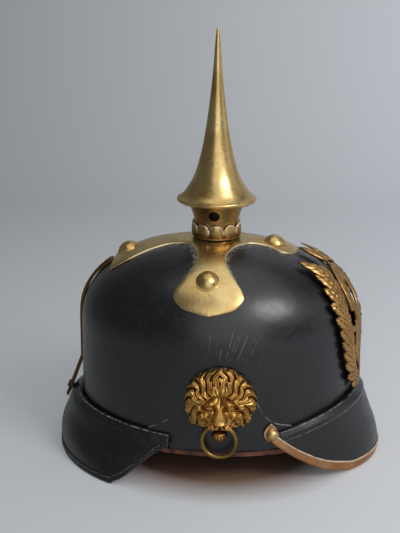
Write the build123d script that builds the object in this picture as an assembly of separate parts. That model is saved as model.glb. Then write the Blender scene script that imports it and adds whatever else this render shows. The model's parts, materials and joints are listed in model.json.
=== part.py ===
from build123d import *
from functools import lru_cache
import math
import os

# Frame: +Z is up and the helmet faces -Y. The origin is on the surface that it stands on.
# Pieces are made round the middle of the skull and saved PLAN_SHIFT behind it, because the front
# visor reaches further out: that puts the origin under the middle of the whole plan.
# In side views a place is (forward, height), with forward = -Y.
PLAN_SHIFT = 3.0

# Skull: boiled leather, an oval plan under a full crown
SHELL_LENGTH = 235.6
SHELL_WIDTH = 188.0
SHELL_TOP = 184.5
SHELL_BOTTOM = 29.0
WALL_TOP = 110.0
SHELL_WALL = 2.6
CROWN_EXPONENT = 2.25
CROWN_STEPS = 14
SEAM_TURN = 45
VENT_RADIUS = 14.0

# Clearances and the one overrun that serves all cuts
SEAT = 0.1
LOOSE = 0.3
OVERRUN = 20.0

# Spike: turned brass trumpet on a threaded stem
SPIKE_SETBACK = 1.8
SPIKE_FOOT = 216.0
SPIKE_HEIGHT = 143.5
SPIKE_RADIUS = 33.0
SPIKE_LIP = 3.5
SPIKE_WALL = 1.4
SPIKE_HOLLOW = 46.0
SPIKE_TIP_RADIUS = 1.3
STEM_RADIUS = 4.0
STEM_ENGAGEMENT = 14.0
STEM_FIT = 0.06
BASE_PLATE_THICKNESS = 1.3
WASHER_THICKNESS = 0.6
WASHER_WIDTH = 3.0

# Height shares of the spike above its foot, with radius shares of its widest radius
SPIKE_CURVE_SHARES = (
    (0.045, 0.865),
    (0.080, 0.755),
    (0.116, 0.658),
    (0.152, 0.582),
    (0.223, 0.479),
    (0.294, 0.400),
    (0.366, 0.336),
    (0.472, 0.263),
    (0.577, 0.202),
    (0.682, 0.150),
    (0.820, 0.098),
    (0.955, 0.056),
)

# Neck: flared collar with vent holes, ringed at its foot by a crown of petals
NECK_WALL = 1.2
NECK_FLANGE_RADIUS = 19.6
NECK_FLANGE_THICKNESS = 1.3
NECK_FOOT_RADIUS = 17.4
NECK_WAIST_RADIUS = 18.3
NECK_WAIST_SHARE = 0.42
NECK_RIM_RADIUS = 24.0
NECK_VENT_RADIUS = 4.5
NECK_VENT_HEIGHT = 207.0
SOCKET_RADIUS = 7.5
BRIDGE_WIDTH = 9.0
BRIDGE_THICKNESS = 3.0
PETAL_COUNT = 10
PETAL_TOP = 199.0
PETAL_ROOT_RADIUS = 20.2
PETAL_BULGE_RADIUS = 21.4
PETAL_TIP_RADIUS = 20.3
PETAL_INNER_RADIUS = 18.9
PETAL_ARCH_RADIUS = 6.8

# Cross base: brass plate with four arms on the crown
BASE_THICKNESS = 1.6
SIDE_ARM_REACH = 89.3
SIDE_ARM_HALF_WIDTH = 29.0
FRONT_ARM_REACH = 71.0
FRONT_ARM_HALF_WIDTH = 18.2
REAR_ARM_REACH = 88.0
REAR_ARM_HALF_WIDTH = 30.0
BASE_BORE_RADIUS = 15.0

# Arm outlines from tip to hub: (share of the reach, share of the widest half-width)
SIDE_ARM_SHARES = (
    (0.985, 0.33),
    (0.950, 0.74),
    (0.885, 0.98),
    (0.834, 0.945),
    (0.773, 0.793),
    (0.683, 0.600),
    (0.575, 0.445),
    (0.470, 0.415),
    (0.313, 0.580),
    (0.219, 0.793),
)
FRONT_ARM_SHARES = (
    (0.430, 0.745),
    (0.555, 0.690),
    (0.667, 0.780),
    (0.790, 0.990),
    (0.889, 0.850),
    (0.964, 0.400),
)
REAR_ARM_SHARES = (
    (0.318, 0.557),
    (0.443, 0.520),
    (0.585, 0.633),
    (0.710, 0.833),
    (0.818, 0.980),
    (0.920, 1.000),
)
REAR_ARM_END_SHARE = 0.967

# Domed studs of the cross, bolted through the skull
STUD_RADIUS = 9.3
STUD_HEIGHT = 5.6
STUD_FLANGE_RADIUS = 9.9
STUD_FLANGE = 0.8
STUD_SHANK_RADIUS = 2.0
STUD_SIDE_REACH = 70.0
STUD_FRONT_REACH = 50.0
STUD_REAR_REACH = 76.0
HOLE_CLEARANCE = 0.15
WASHER_RADIUS = 6.5
INNER_WASHER_THICKNESS = 1.2
NUT_WIDTH = 8.0
NUT_STAND = 1.1
NUT_THICKNESS = 3.2
SHANK_TAIL = 1.2

# Rear spine: half-round brass bar from the cross down to the neck guard
SPINE_HALF_WIDTH = 6.5
SPINE_RIB_HALF_WIDTH = 3.0
SPINE_THICKNESS = 1.8
SPINE_RIB_HEIGHT = 1.0
SPINE_BOW = 0.6
SPINE_LEAVES_SHELL = 74.0
SPINE_END_FORWARD = -132.2
SPINE_END_HEIGHT = 36.0
SPINE_STEPS = 8
SPINE_SCREW_RADIUS = 1.6
SPINE_SCREW_HEAD_RADIUS = 3.2
SPINE_SCREW_HEAD = 1.4
SPINE_SCREW_BACK = 9.0
SPINE_NUT_DEPTH = 7.4

# Visors: leather skirts that flare from the wall down to the rims
VISOR_THICKNESS = 2.2
FRONT_REACH = 141.6
FRONT_SIDE_FLARE = 2.0
FRONT_ROOT_HEIGHT = 60.3
FRONT_ROOT_SLOPE = 0.25
REAR_REACH = 138.0
REAR_SIDE_FLARE = 28.8
REAR_ROOT_HEIGHT = 48.3
REAR_ROOT_SLOPE = 0.068

# Flares from root to rim: (share of the root height, share of the forward flare, of the side flare)
FRONT_FLARE_SHARES = (
    (1.000, 0.000, 0.00),
    (0.967, 0.130, 0.43),
    (0.917, 0.265, 0.78),
    (0.777, 0.430, 1.00),
    (0.572, 0.640, 1.00),
    (0.364, 0.870, 1.00),
    (0.116, 0.995, 0.85),
    (-0.080, 0.820, 0.50),
)
REAR_FLARE_SHARES = (
    (1.000, 0.000, 0.00),
    (0.911, 0.385, 0.09),
    (0.642, 0.710, 0.23),
    (0.445, 0.925, 0.445),
    (0.259, 0.993, 0.705),
    (0.000, 0.882, 1.00),
    (-0.120, 0.675, 1.28),
)

# Rims seen from the side: (share of the reach, share of the root height), corner to low point
FRONT_CORNER_FORWARD = 52.5
REAR_CORNER_FORWARD = -30.0
FRONT_RIM_SHARES = (
    (0.318, 0.735),
    (0.405, 0.565),
    (0.494, 0.405),
    (0.563, 0.300),
    (0.640, 0.190),
    (0.712, 0.108),
    (0.786, 0.045),
)
FRONT_RIM_LOW_SHARE = 0.86
REAR_RIM_SHARES = (
    (0.236, 0.675),
    (0.283, 0.580),
    (0.330, 0.489),
    (0.380, 0.377),
    (0.438, 0.255),
    (0.494, 0.130),
    (0.547, 0.045),
)
REAR_RIM_LOW_SHARE = 0.609

# Brass trim on the front rim and leather binding on the rear rim
TRIM_WALL = 0.9
TRIM_WIDTH = 9.0
TRIM_FLOOR = 1.0
TRIM_TONGUE_RADIUS = 6.4
BINDING_WALL = 1.0
BINDING_WIDTH = 6.0
TRIM_STUD_FORWARD = 52.4
TRIM_STUD_HEIGHT = 43.6
TRIM_STUD_RADIUS = 5.5
TRIM_STUD_RISE = 4.6
TRIM_STUD_SEAT = 3.8
TRIM_SHANK_RADIUS = 1.5
SMALL_NUT_WIDTH = 6.0
SMALL_NUT_THICKNESS = 2.4

# Welts over the visor roots
WELT_THICKNESS = 1.2
WELT_WIDTH = 8.0
FRONT_WELT_START = 61.0

# Side reinforcements: ogee leather panels under the lion bosses
PANEL_THICKNESS = 1.6
PANEL_CENTRE_FORWARD = 11.6
PANEL_TOP = 102.4
PANEL_BOTTOM = 29.5
PANEL_JOINT = 0.5
PANEL_REAR_SPREAD = 66.0
PANEL_FRONT_SPREAD = 68.0

# Ogee: (share of the spread from the centre line, share of the panel's height)
PANEL_REAR_SHARES = (
    (1.00, 0.170),
    (0.76, 0.285),
    (0.612, 0.380),
    (0.490, 0.530),
    (0.405, 0.690),
    (0.290, 0.895),
)
PANEL_FRONT_SHARES = (
    (0.245, 0.900),
    (0.376, 0.680),
    (0.450, 0.542),
    (0.524, 0.420),
    (0.640, 0.325),
    (0.818, 0.270),
    (1.000, 0.205),
)

# Lion bosses, cast brass, and the rings in their mouths
LION_HEIGHT = 74.0
MANE_HALF_WIDTH = 28.5
MANE_HALF_HEIGHT = 28.5
MANE_RISE = 9.5
MANE_LOCKS = 17
LOCK_RADIUS = 5.6
FACE_HALF_WIDTH = 17.0
FACE_HALF_HEIGHT = 21.0
FACE_RISE = 12.0
BROW_RADIUS = 4.6
BROW_SPREAD = 7.2
BROW_HEIGHT = 80.0
BROW_RISE = 10.5
MUZZLE_HALF_WIDTH = 8.0
MUZZLE_HALF_HEIGHT = 9.5
MUZZLE_HEIGHT = 60.5
MUZZLE_RISE = 15.0
NOSE_HALF_WIDTH = 3.4
NOSE_HALF_HEIGHT = 12.0
NOSE_HEIGHT = 69.0
NOSE_RISE = 14.6
CHIN_HALF_WIDTH = 6.4
CHIN_HALF_HEIGHT = 8.0
CHIN_HEIGHT = 48.5
CHIN_RISE = 11.5
RING_RADIUS = 13.75
RING_WIRE = 1.75
RING_STAND = 6.2
RING_TOP = 55.75
RING_EYE_HALF_WIDTH = 2.4
RING_EYE_CLEARANCE = 0.4
RING_ARCH_HALF_WIDTH = 8.4
RING_SLOT_HALF_WIDTH = 16.6
RING_SWING = 35.0
RING_BACK_SWING = 6.0
RING_SWING_MARGIN = 5.0
LION_POST_RADIUS = 2.5
LION_POST_HEIGHT = 76.0
LION_POST_SOCKET = 4.0

# Front plate: openwork brass emblem, a plain shield and crown between leafy branches
PLATE_STAND = 3.6
PLATE_THICKNESS = 1.2
PLATE_BOTTOM = 62.0
PLATE_TOP = 178.0
PLATE_HALF_WIDTH = 50.0
LEAF_HALF_LENGTH = 9.0
LEAF_HALF_WIDTH = 4.4
LEAF_COUNT = 11
LEAF_TILT = 32.0
STEM_WIDTH = 3.4
POST_RADIUS = 1.8
POST_COLLAR_RADIUS = 3.4
POST_SPREAD = 37.0
POST_HEIGHT = 118.0

# Branches, shield, crown, cross bar and ribbon: shares of the plate's half-width and height
BRANCH_SHARES = (
    (0.08, 0.040),
    (0.42, 0.085),
    (0.60, 0.200),
    (0.73, 0.380),
    (0.81, 0.560),
    (0.76, 0.700),
    (0.60, 0.830),
    (0.48, 0.925),
)
SHIELD_WIDTH_SHARE = 0.47
SHIELD_TOP_SHARE = 0.52
SHIELD_SHOULDER_SHARE = 0.35
SHIELD_POINT_SHARE = 0.12
CROWN_BAND_SHARES = (0.42, 0.515, 0.60)
CROWN_BODY_SHARES = (0.54, 0.885)
CROWN_ORB_SHARE = 0.05
CROWN_WINDOW_SHARES = (0.44, 0.34, 0.05, 0.10)
CROWN_WINDOW_TILT = 20.0
BAR_SHARES = (0.82, 0.47, 0.045)
RIBBON_SHARES = (0.45, 0.04, 0.075)

# Sweatband and lining inside the skull
BAND_STAND = 9.0
BAND_THICKNESS = 1.5
BAND_TOP = 70.0
BAND_BOTTOM = 25.0
BAND_LIP = 0.3
LINER_THICKNESS = 1.2
LINER_TOP = 156.0
LINER_BOTTOM = 60.0
LINER_SLOTS = 8
LINER_SLOT_WIDTH = 4.0
LINER_SLOT_FOOT = 84.0
LINER_EYE_RADIUS = 22.0

HALF_LENGTH = SHELL_LENGTH / 2
HALF_WIDTH = SHELL_WIDTH / 2
BASE_TOP = SHELL_TOP + SEAT + BASE_THICKNESS
PANEL_FACE = SEAT + PANEL_THICKNESS
NECK_FOOT = BASE_TOP + SEAT
NECK_TOP = SPIKE_FOOT - WASHER_THICKNESS - SEAT
SIDE = Plane(origin=(0, 0, 0), x_dir=(0, -1, 0), z_dir=(-1, 0, 0))
SPIKE_AXIS = Location((0, SPIKE_SETBACK, 0))


def turned_face(face):
    """Solid turned about the Z axis from a face of (radius, height); its seam is on a diagonal."""
    return Rot(0, 0, SEAM_TURN) * revolve(Plane.XZ * face, Axis.Z)


def turned(points):
    """Solid turned about the Z axis from a closed outline of (radius, height) points."""
    return turned_face(make_face(Polyline(*points, close=True)))


def tube(outer, inner, bottom, top):
    """Straight round tube on the Z axis."""
    return turned(((inner, bottom), (outer, bottom), (outer, top), (inner, top)))


def oval_prism(offset, bottom, top):
    """Upright prism on the skull's oval plan, `offset` outside its wall."""
    plan = Plane.XY.offset(bottom) * Ellipse(HALF_WIDTH + offset, HALF_LENGTH + offset)
    return extrude(plan, amount=top - bottom)


@lru_cache(maxsize=None)
def crown_solid(half_length, half_width, top, bottom):
    """Solid dome: straight wall, then a superellipse up to the top, on an oval plan."""
    rise = top - WALL_TOP
    power = 2 / CROWN_EXPONENT
    turns = [math.pi / 2 * step / CROWN_STEPS for step in range(CROWN_STEPS)]
    points = [(half_length * math.cos(t) ** power, WALL_TOP + rise * math.sin(t) ** power) for t in turns]
    points.append((0, top))
    outline = [
        Line((0, bottom), (half_length, bottom)),
        Line((half_length, bottom), (half_length, WALL_TOP)),
        Spline(*points, tangents=((0, 1), (-1, 0))),
        Line((0, top), (0, bottom)),
    ]
    return scale(turned_face(make_face(outline)), by=(half_width / half_length, 1, 1))


def dome(offset, bottom=-OVERRUN):
    """The skull's outer surface as a solid, moved out by `offset`."""
    return crown_solid(HALF_LENGTH + offset, HALF_WIDTH + offset, SHELL_TOP + offset, bottom)


def dome_layer(inner, outer):
    """Layer of the skull between two offsets from its outer surface."""
    return dome(outer) - dome(inner)


def side_prism(face):
    """Prism along X through the whole helmet from a side-view face."""
    return extrude(SIDE * face, amount=SHELL_WIDTH, both=True)


def half_space(side):
    """Block that covers one side of the helmet, +1 for +X and -1 for -X."""
    size = SHELL_LENGTH + SHELL_TOP + SPIKE_HEIGHT
    return Pos(side * size / 2, 0, 0) * Box(size, size, size)


def crown_plane(x, y, offset):
    """Plane on the skull, `offset` above its surface, with +Z along the outward normal."""
    half_length = HALF_LENGTH + offset
    half_width = HALF_WIDTH + offset
    rise = SHELL_TOP - WALL_TOP + offset
    radius = math.hypot(x / half_width, y / half_length)
    level = (1 - radius ** CROWN_EXPONENT) ** (1 / CROWN_EXPONENT)
    steep = radius ** (CROWN_EXPONENT - 2)
    normal = (
        steep * x / half_width ** 2,
        steep * y / half_length ** 2,
        level ** (CROWN_EXPONENT - 1) / rise,
    )
    return Plane(origin=(x, y, WALL_TOP + rise * level), z_dir=normal)


def wall_plane(side, forward, height, offset):
    """Plane on the skull's upright wall with +Z outward, on one side at `forward`."""
    half_length = HALF_LENGTH + offset
    half_width = HALF_WIDTH + offset
    x = side * half_width * math.sqrt(1 - (forward / half_length) ** 2)
    normal = (x / half_width ** 2, -forward / half_length ** 2, 0)
    return Plane(origin=(x, -forward, height), z_dir=normal)


def rod(plane, radius, inward, outward=0):
    """Round rod along a plane's normal, from `inward` below it to `outward` above it."""
    bar = Pos(0, 0, (outward - inward) / 2) * Cylinder(radius, outward + inward)
    return plane.location * bar


def domed_head(radius, rise, flange_radius, flange):
    """Stud head: a low dome on a thin flange, standing on Z = 0."""
    sphere_radius = (radius ** 2 + rise ** 2) / (2 * rise)
    ball = Pos(0, 0, flange + rise - sphere_radius) * Sphere(sphere_radius)
    cap = ball & (Pos(0, 0, flange + rise / 2) * Cylinder(radius, rise))
    return cap + Pos(0, 0, flange / 2) * Cylinder(flange_radius, flange)


def square_nut(width, thickness, bore):
    """Square nut hanging below Z = 0."""
    body = Box(width, width, thickness) - Cylinder(bore, thickness)
    return Pos(0, 0, -thickness / 2) * body


def flare(shares, reach, side_flare, root_height, root_slope, way, offset):
    """Skirt solid of a visor: oval sections from its root plane down past the rim.

    `way` is +1 for the front and -1 for the rear. Each section is an oval in plan, on a plane
    that rises towards the rim's end of the helmet, less and less from root to rim.
    """
    root_length = HALF_LENGTH + LOOSE + VISOR_THICKNESS
    root_width = HALF_WIDTH + LOOSE + VISOR_THICKNESS
    sections = []
    for height_share, forward_share, side_share in shares:
        half_length = root_length + (reach - root_length) * forward_share + offset
        half_width = root_width + side_flare * side_share + offset
        centre = height_share * (root_height - root_slope * root_length)
        slope = way * height_share * root_slope
        plane = Plane(origin=(0, 0, centre), x_dir=(-1, 0, 0), z_dir=(0, slope, 1))
        sections.append(plane * Ellipse(half_width, half_length * math.hypot(1, slope)))
    return loft(sections)


@lru_cache(maxsize=None)
def front_flare(offset):
    """Front visor's outer surface as a solid, moved out by `offset`."""
    sizes = (FRONT_REACH, FRONT_SIDE_FLARE, FRONT_ROOT_HEIGHT, FRONT_ROOT_SLOPE)
    return flare(FRONT_FLARE_SHARES, *sizes, 1, offset)


@lru_cache(maxsize=None)
def rear_flare(offset):
    """Neck guard's outer surface as a solid, moved out by `offset`."""
    sizes = (REAR_REACH, REAR_SIDE_FLARE, REAR_ROOT_HEIGHT, REAR_ROOT_SLOPE)
    return flare(REAR_FLARE_SHARES, *sizes, -1, offset)


def root_line(way, forward):
    """Height of a visor's root plane at a place along the helmet."""
    root_length = HALF_LENGTH + LOOSE + VISOR_THICKNESS
    if way > 0:
        return FRONT_ROOT_HEIGHT + FRONT_ROOT_SLOPE * (forward - root_length)
    return REAR_ROOT_HEIGHT - REAR_ROOT_SLOPE * (forward + root_length)


def rim_face(way, lift, width=None):
    """Side view of a visor above its rim, the whole visor or a band `width` wide.

    The rim runs from the corner at the side down to the low point, and then level.
    """
    if way > 0:
        shares, low_share = FRONT_RIM_SHARES, FRONT_RIM_LOW_SHARE
        reach, root_height, corner = FRONT_REACH, FRONT_ROOT_HEIGHT, FRONT_CORNER_FORWARD
    else:
        shares, low_share = REAR_RIM_SHARES, REAR_RIM_LOW_SHARE
        reach, root_height, corner = REAR_REACH, REAR_ROOT_HEIGHT, REAR_CORNER_FORWARD
    far = way * (reach + OVERRUN)
    rim = [(way * reach * x, root_height * z + lift) for x, z in shares]
    rim.append((way * reach * low_share, lift))
    if width is None:
        top = root_height + OVERRUN
        edges = [
            Line((corner, top), (corner, rim[0][1])),
            Line((corner, rim[0][1]), rim[0]),
            Spline(*rim, tangents=((way, rim_slope(rim)), (way, 0))),
            Line(rim[-1], (far, lift)),
            Line((far, lift), (far, top)),
            Line((far, top), (corner, top)),
        ]
        return make_face(edges)
    upper = [(x + way * width * lean(way, rim, k), z + width * rise_of(rim, k)) for k, (x, z) in enumerate(rim)]
    edges = [
        Line(upper[0], rim[0]),
        Spline(*rim, tangents=((way, rim_slope(rim)), (way, 0))),
        Line(rim[-1], (far, lift)),
        Line((far, lift), (far, lift + width)),
        Line((far, lift + width), upper[-1]),
        Spline(*reversed(upper), tangents=((-way, 0), (-way, -rim_slope(rim)))),
    ]
    return make_face(edges)


def rim_slope(rim):
    """Fall of the rim at its corner for each length that it goes along."""
    return (rim[1][1] - rim[0][1]) / abs(rim[1][0] - rim[0][0])


def rim_direction(rim, k):
    """Unit direction (along, down) of the rim at one of its points."""
    before = rim[max(k - 1, 0)]
    after = rim[min(k + 1, len(rim) - 1)]
    along = abs(after[0] - before[0])
    down = before[1] - after[1]
    length = math.hypot(along, down)
    return along / length, down / length


def lean(way, rim, k):
    """Share of a width across the rim that goes along the helmet."""
    return 0 if k == len(rim) - 1 else rim_direction(rim, k)[1]


def rise_of(rim, k):
    """Share of a width across the rim that goes up."""
    return 1 if k == len(rim) - 1 else rim_direction(rim, k)[0]


def make_leather_shell():
    shell = dome(0, SHELL_BOTTOM) - dome(-SHELL_WALL)
    shell -= SPIKE_AXIS * Pos(0, 0, SHELL_TOP) * Cylinder(VENT_RADIUS, OVERRUN)
    for hole in shell_holes():
        shell -= hole
    return shell


def shell_holes():
    """Bores in the skull for every shank that passes its wall."""
    depth = SHELL_WALL + OVERRUN / 2
    holes = [rod(plane, STUD_SHANK_RADIUS + HOLE_CLEARANCE, depth, depth) for plane in cross_stud_planes()]
    holes += [rod(plane, POST_RADIUS + HOLE_CLEARANCE, depth, depth) for plane in plate_post_planes()]
    for side in (-1, 1):
        trim = wall_plane(side, TRIM_STUD_FORWARD, TRIM_STUD_HEIGHT, 0)
        lion = wall_plane(side, PANEL_CENTRE_FORWARD, LION_POST_HEIGHT, 0)
        holes.append(rod(trim, TRIM_SHANK_RADIUS + HOLE_CLEARANCE, depth, depth))
        holes.append(rod(lion, LION_POST_RADIUS + HOLE_CLEARANCE, depth, depth))
    return holes


def quarter_outline(side, way, arm_shares, reach, half_width):
    """Points of the cross between a side arm's tip and the front or rear arm's tip."""
    points = [(0, SIDE_ARM_REACH)]
    points += [(SIDE_ARM_HALF_WIDTH * w, SIDE_ARM_REACH * a) for a, w in SIDE_ARM_SHARES]
    points += [(reach * a, half_width * w) for a, w in arm_shares]
    if way > 0:
        points.append((reach, 0))
    else:
        points.append((reach, half_width * REAR_ARM_END_SHARE))
    return [(side * across, SPIKE_SETBACK - way * forward) for forward, across in points]


def cross_face():
    """Plan of the cross base: three pointed arms and a rear arm with a square end."""
    edges = []
    ends = []
    for side in (1, -1):
        front = quarter_outline(side, 1, FRONT_ARM_SHARES, FRONT_ARM_REACH, FRONT_ARM_HALF_WIDTH)
        rear = quarter_outline(side, -1, REAR_ARM_SHARES, REAR_ARM_REACH, REAR_ARM_HALF_WIDTH)
        edges += [Spline(*front), Spline(*rear)]
        ends.append(rear[-1])
    edges.append(Line(*ends))
    return make_face(edges)


def cross_stud_planes():
    """Seats of the four domed studs on the cross: left, right, front and rear."""
    places = (
        (-STUD_SIDE_REACH, SPIKE_SETBACK),
        (STUD_SIDE_REACH, SPIKE_SETBACK),
        (0, SPIKE_SETBACK - STUD_FRONT_REACH),
        (0, SPIKE_SETBACK + STUD_REAR_REACH),
    )
    return [crown_plane(x, y, SEAT + BASE_THICKNESS) for x, y in places]


def make_cross_base():
    plate = dome_layer(SEAT, SEAT + BASE_THICKNESS)
    plate &= extrude(Plane.XY.offset(WALL_TOP) * cross_face(), amount=SHELL_TOP)
    plate -= SPIKE_AXIS * Pos(0, 0, SHELL_TOP) * Cylinder(BASE_BORE_RADIUS, OVERRUN)
    for plane in cross_stud_planes():
        plate -= rod(plane, STUD_SHANK_RADIUS + HOLE_CLEARANCE, OVERRUN, OVERRUN)
    return plate


def cross_nut_depth():
    """Depth of the nuts' seats inside the skull, below the face of the cross."""
    return BASE_THICKNESS + SEAT + SHELL_WALL + SEAT + INNER_WASHER_THICKNESS + NUT_STAND


def make_cross_studs():
    head = domed_head(STUD_RADIUS, STUD_HEIGHT, STUD_FLANGE_RADIUS, STUD_FLANGE)
    below = SEAT + cross_nut_depth() + NUT_THICKNESS + SHANK_TAIL
    shank = Pos(0, 0, -below / 2) * Cylinder(STUD_SHANK_RADIUS, below)
    return [plane.location * (Pos(0, 0, SEAT) * (head + shank)) for plane in cross_stud_planes()]


def make_cross_stud_washers():
    """Leather washers that lie against the inside of the skull."""
    inside = -SHELL_WALL - SEAT
    layer = dome_layer(inside - INNER_WASHER_THICKNESS, inside)
    washers = []
    for plane in cross_stud_planes():
        core = rod(plane, STUD_SHANK_RADIUS + HOLE_CLEARANCE, OVERRUN)
        washers.append((layer & rod(plane, WASHER_RADIUS, OVERRUN)) - core)
    return washers


def make_cross_stud_nuts():
    nut = square_nut(NUT_WIDTH, NUT_THICKNESS, STUD_SHANK_RADIUS + STEM_FIT)
    return [plane.location * (Pos(0, 0, -cross_nut_depth()) * nut) for plane in cross_stud_planes()]


def neck_outline(offset):
    """Edges of the collar's outer profile from foot to rim, moved out by `offset`."""
    waist = NECK_FOOT + (NECK_TOP - NECK_FOOT) * NECK_WAIST_SHARE
    points = (
        (NECK_FOOT_RADIUS + offset, NECK_FOOT),
        (NECK_WAIST_RADIUS + offset, waist),
        (NECK_RIM_RADIUS + offset, NECK_TOP),
    )
    return points, Spline(*points)


def make_neck_collar():
    outer, outer_curve = neck_outline(0)
    inner, inner_curve = neck_outline(-NECK_WALL)
    wall = make_face([
        outer_curve,
        Line(outer[-1], inner[-1]),
        inner_curve,
        Line(inner[0], outer[0]),
    ])
    collar = turned_face(wall)
    flange_top = NECK_FOOT + NECK_FLANGE_THICKNESS
    collar += tube(NECK_FLANGE_RADIUS, NECK_FOOT_RADIUS - NECK_WALL / 2, NECK_FOOT, flange_top)
    vents = Pos(0, 0, NECK_VENT_HEIGHT) * Rot(0, 90, 0) * Cylinder(NECK_VENT_RADIUS, SHELL_WIDTH)
    return SPIKE_AXIS * (collar - vents)


def make_petal_crown():
    foot = NECK_FOOT + NECK_FLANGE_THICKNESS + SEAT
    middle = (foot + PETAL_TOP) / 2
    profile = make_face([
        Line((PETAL_INNER_RADIUS, foot), (PETAL_ROOT_RADIUS, foot)),
        ThreePointArc((PETAL_ROOT_RADIUS, foot), (PETAL_BULGE_RADIUS, middle), (PETAL_TIP_RADIUS, PETAL_TOP)),
        Line((PETAL_TIP_RADIUS, PETAL_TOP), (PETAL_INNER_RADIUS, PETAL_TOP)),
        Line((PETAL_INNER_RADIUS, PETAL_TOP), (PETAL_INNER_RADIUS, foot)),
    ])
    ring = turned_face(profile)
    centre = PETAL_TOP - PETAL_ARCH_RADIUS
    keep = Pos(0, 0, (foot + centre) / 2) * Cylinder(PETAL_BULGE_RADIUS + OVERRUN, centre - foot)
    arch = Pos(PETAL_BULGE_RADIUS, 0, centre) * Rot(0, 90, 0) * Cylinder(PETAL_ARCH_RADIUS, PETAL_BULGE_RADIUS)
    for petal in range(PETAL_COUNT):
        keep += Rot(0, 0, 360 * petal / PETAL_COUNT) * arch
    return SPIKE_AXIS * (ring & keep)


def make_spike_socket():
    """Threaded bush on a bridge across the collar, which leaves the vent open on both sides."""
    inner, inner_curve = neck_outline(-NECK_WALL - SEAT)
    core = make_face([
        inner_curve,
        Line(inner[-1], (0, NECK_TOP)),
        Line((0, NECK_TOP), (0, NECK_FOOT)),
        Line((0, NECK_FOOT), inner[0]),
    ])
    top = SPIKE_FOOT - STEM_ENGAGEMENT / 2
    bottom = top - STEM_ENGAGEMENT
    bridge = Pos(0, 0, bottom + BRIDGE_THICKNESS / 2) * Box(BRIDGE_WIDTH, SHELL_WIDTH, BRIDGE_THICKNESS)
    bush = Pos(0, 0, (top + bottom) / 2) * Cylinder(SOCKET_RADIUS, STEM_ENGAGEMENT)
    bore = Pos(0, 0, (top + bottom) / 2) * Cylinder(STEM_RADIUS + STEM_FIT, STEM_ENGAGEMENT + OVERRUN)
    bridge &= turned_face(core)
    return SPIKE_AXIS * (bridge + bush - bore)


def make_spike():
    tip = SPIKE_FOOT + SPIKE_HEIGHT
    lip_top = SPIKE_FOOT + SPIKE_LIP
    points = [(SPIKE_RADIUS, lip_top)]
    points += [(SPIKE_RADIUS * r, SPIKE_FOOT + SPIKE_HEIGHT * z) for z, r in SPIKE_CURVE_SHARES]
    points.append((SPIKE_TIP_RADIUS, tip - SPIKE_TIP_RADIUS))
    lip_foot = (SPIKE_RADIUS - SPIKE_LIP / 2, SPIKE_FOOT)
    crest = (0, tip)
    corner = (SPIKE_TIP_RADIUS * math.cos(math.pi / 4), tip - SPIKE_TIP_RADIUS * (1 - math.sin(math.pi / 4)))
    profile = make_face([
        Line((0, SPIKE_FOOT), lip_foot),
        ThreePointArc(lip_foot, (SPIKE_RADIUS + SPIKE_LIP / 8, SPIKE_FOOT + SPIKE_LIP / 2), points[0]),
        Spline(*points),
        ThreePointArc(points[-1], corner, crest),
        Line(crest, (0, SPIKE_FOOT)),
    ])
    spike = turned_face(profile)
    hollow_top = SPIKE_FOOT + SPIKE_HOLLOW
    hollow = [(r - SPIKE_WALL, z) for r, z in points if lip_top < z < hollow_top]
    mouth = SPIKE_RADIUS - SPIKE_LIP
    hollow = [(0, SPIKE_FOOT), (mouth, SPIKE_FOOT), (mouth, SPIKE_FOOT + BASE_PLATE_THICKNESS)] + hollow
    hollow += [(hollow[-1][0], hollow_top), (0, hollow_top)]
    return SPIKE_AXIS * (spike - turned(hollow))


def make_spike_base_plate():
    mouth = SPIKE_RADIUS - SPIKE_LIP - SEAT / 2
    plate = tube(mouth, STEM_RADIUS + SEAT / 2, SPIKE_FOOT, SPIKE_FOOT + BASE_PLATE_THICKNESS - SEAT)
    return SPIKE_AXIS * plate


def make_spike_stem():
    bottom = SPIKE_FOOT - STEM_ENGAGEMENT * 3 / 2
    top = SPIKE_FOOT + SPIKE_HOLLOW - SEAT
    stem = Pos(0, 0, (top + bottom) / 2) * Cylinder(STEM_RADIUS, top - bottom)
    return SPIKE_AXIS * stem


def make_spike_washer():
    bottom = NECK_TOP + SEAT / 2
    ring = tube(NECK_RIM_RADIUS, NECK_RIM_RADIUS - WASHER_WIDTH, bottom, bottom + WASHER_THICKNESS)
    return SPIKE_AXIS * ring


def spine_path(offset):
    """Side-view points of the spine, `offset` outside its seat, from the cross to its end."""
    top = crown_plane(0, SPIKE_SETBACK + REAR_ARM_REACH, 0).origin.Z - SPINE_THICKNESS / 2
    points = []
    for step in range(SPINE_STEPS):
        share = step / (SPINE_STEPS - 1)
        height = top + (SPINE_LEAVES_SHELL - top) * share
        bow = SPINE_BOW * math.sin(math.pi * min(2 * share, 1)) + SEAT + offset
        level = max(height - WALL_TOP, 0) / (SHELL_TOP - WALL_TOP)
        radius = HALF_LENGTH * (1 - level ** CROWN_EXPONENT) ** (1 / CROWN_EXPONENT)
        steep = math.atan2((radius / HALF_LENGTH) ** (CROWN_EXPONENT - 1), level ** (CROWN_EXPONENT - 1))
        points.append((-radius - bow * math.sin(steep), height + bow * math.cos(steep)))
    return points


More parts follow.
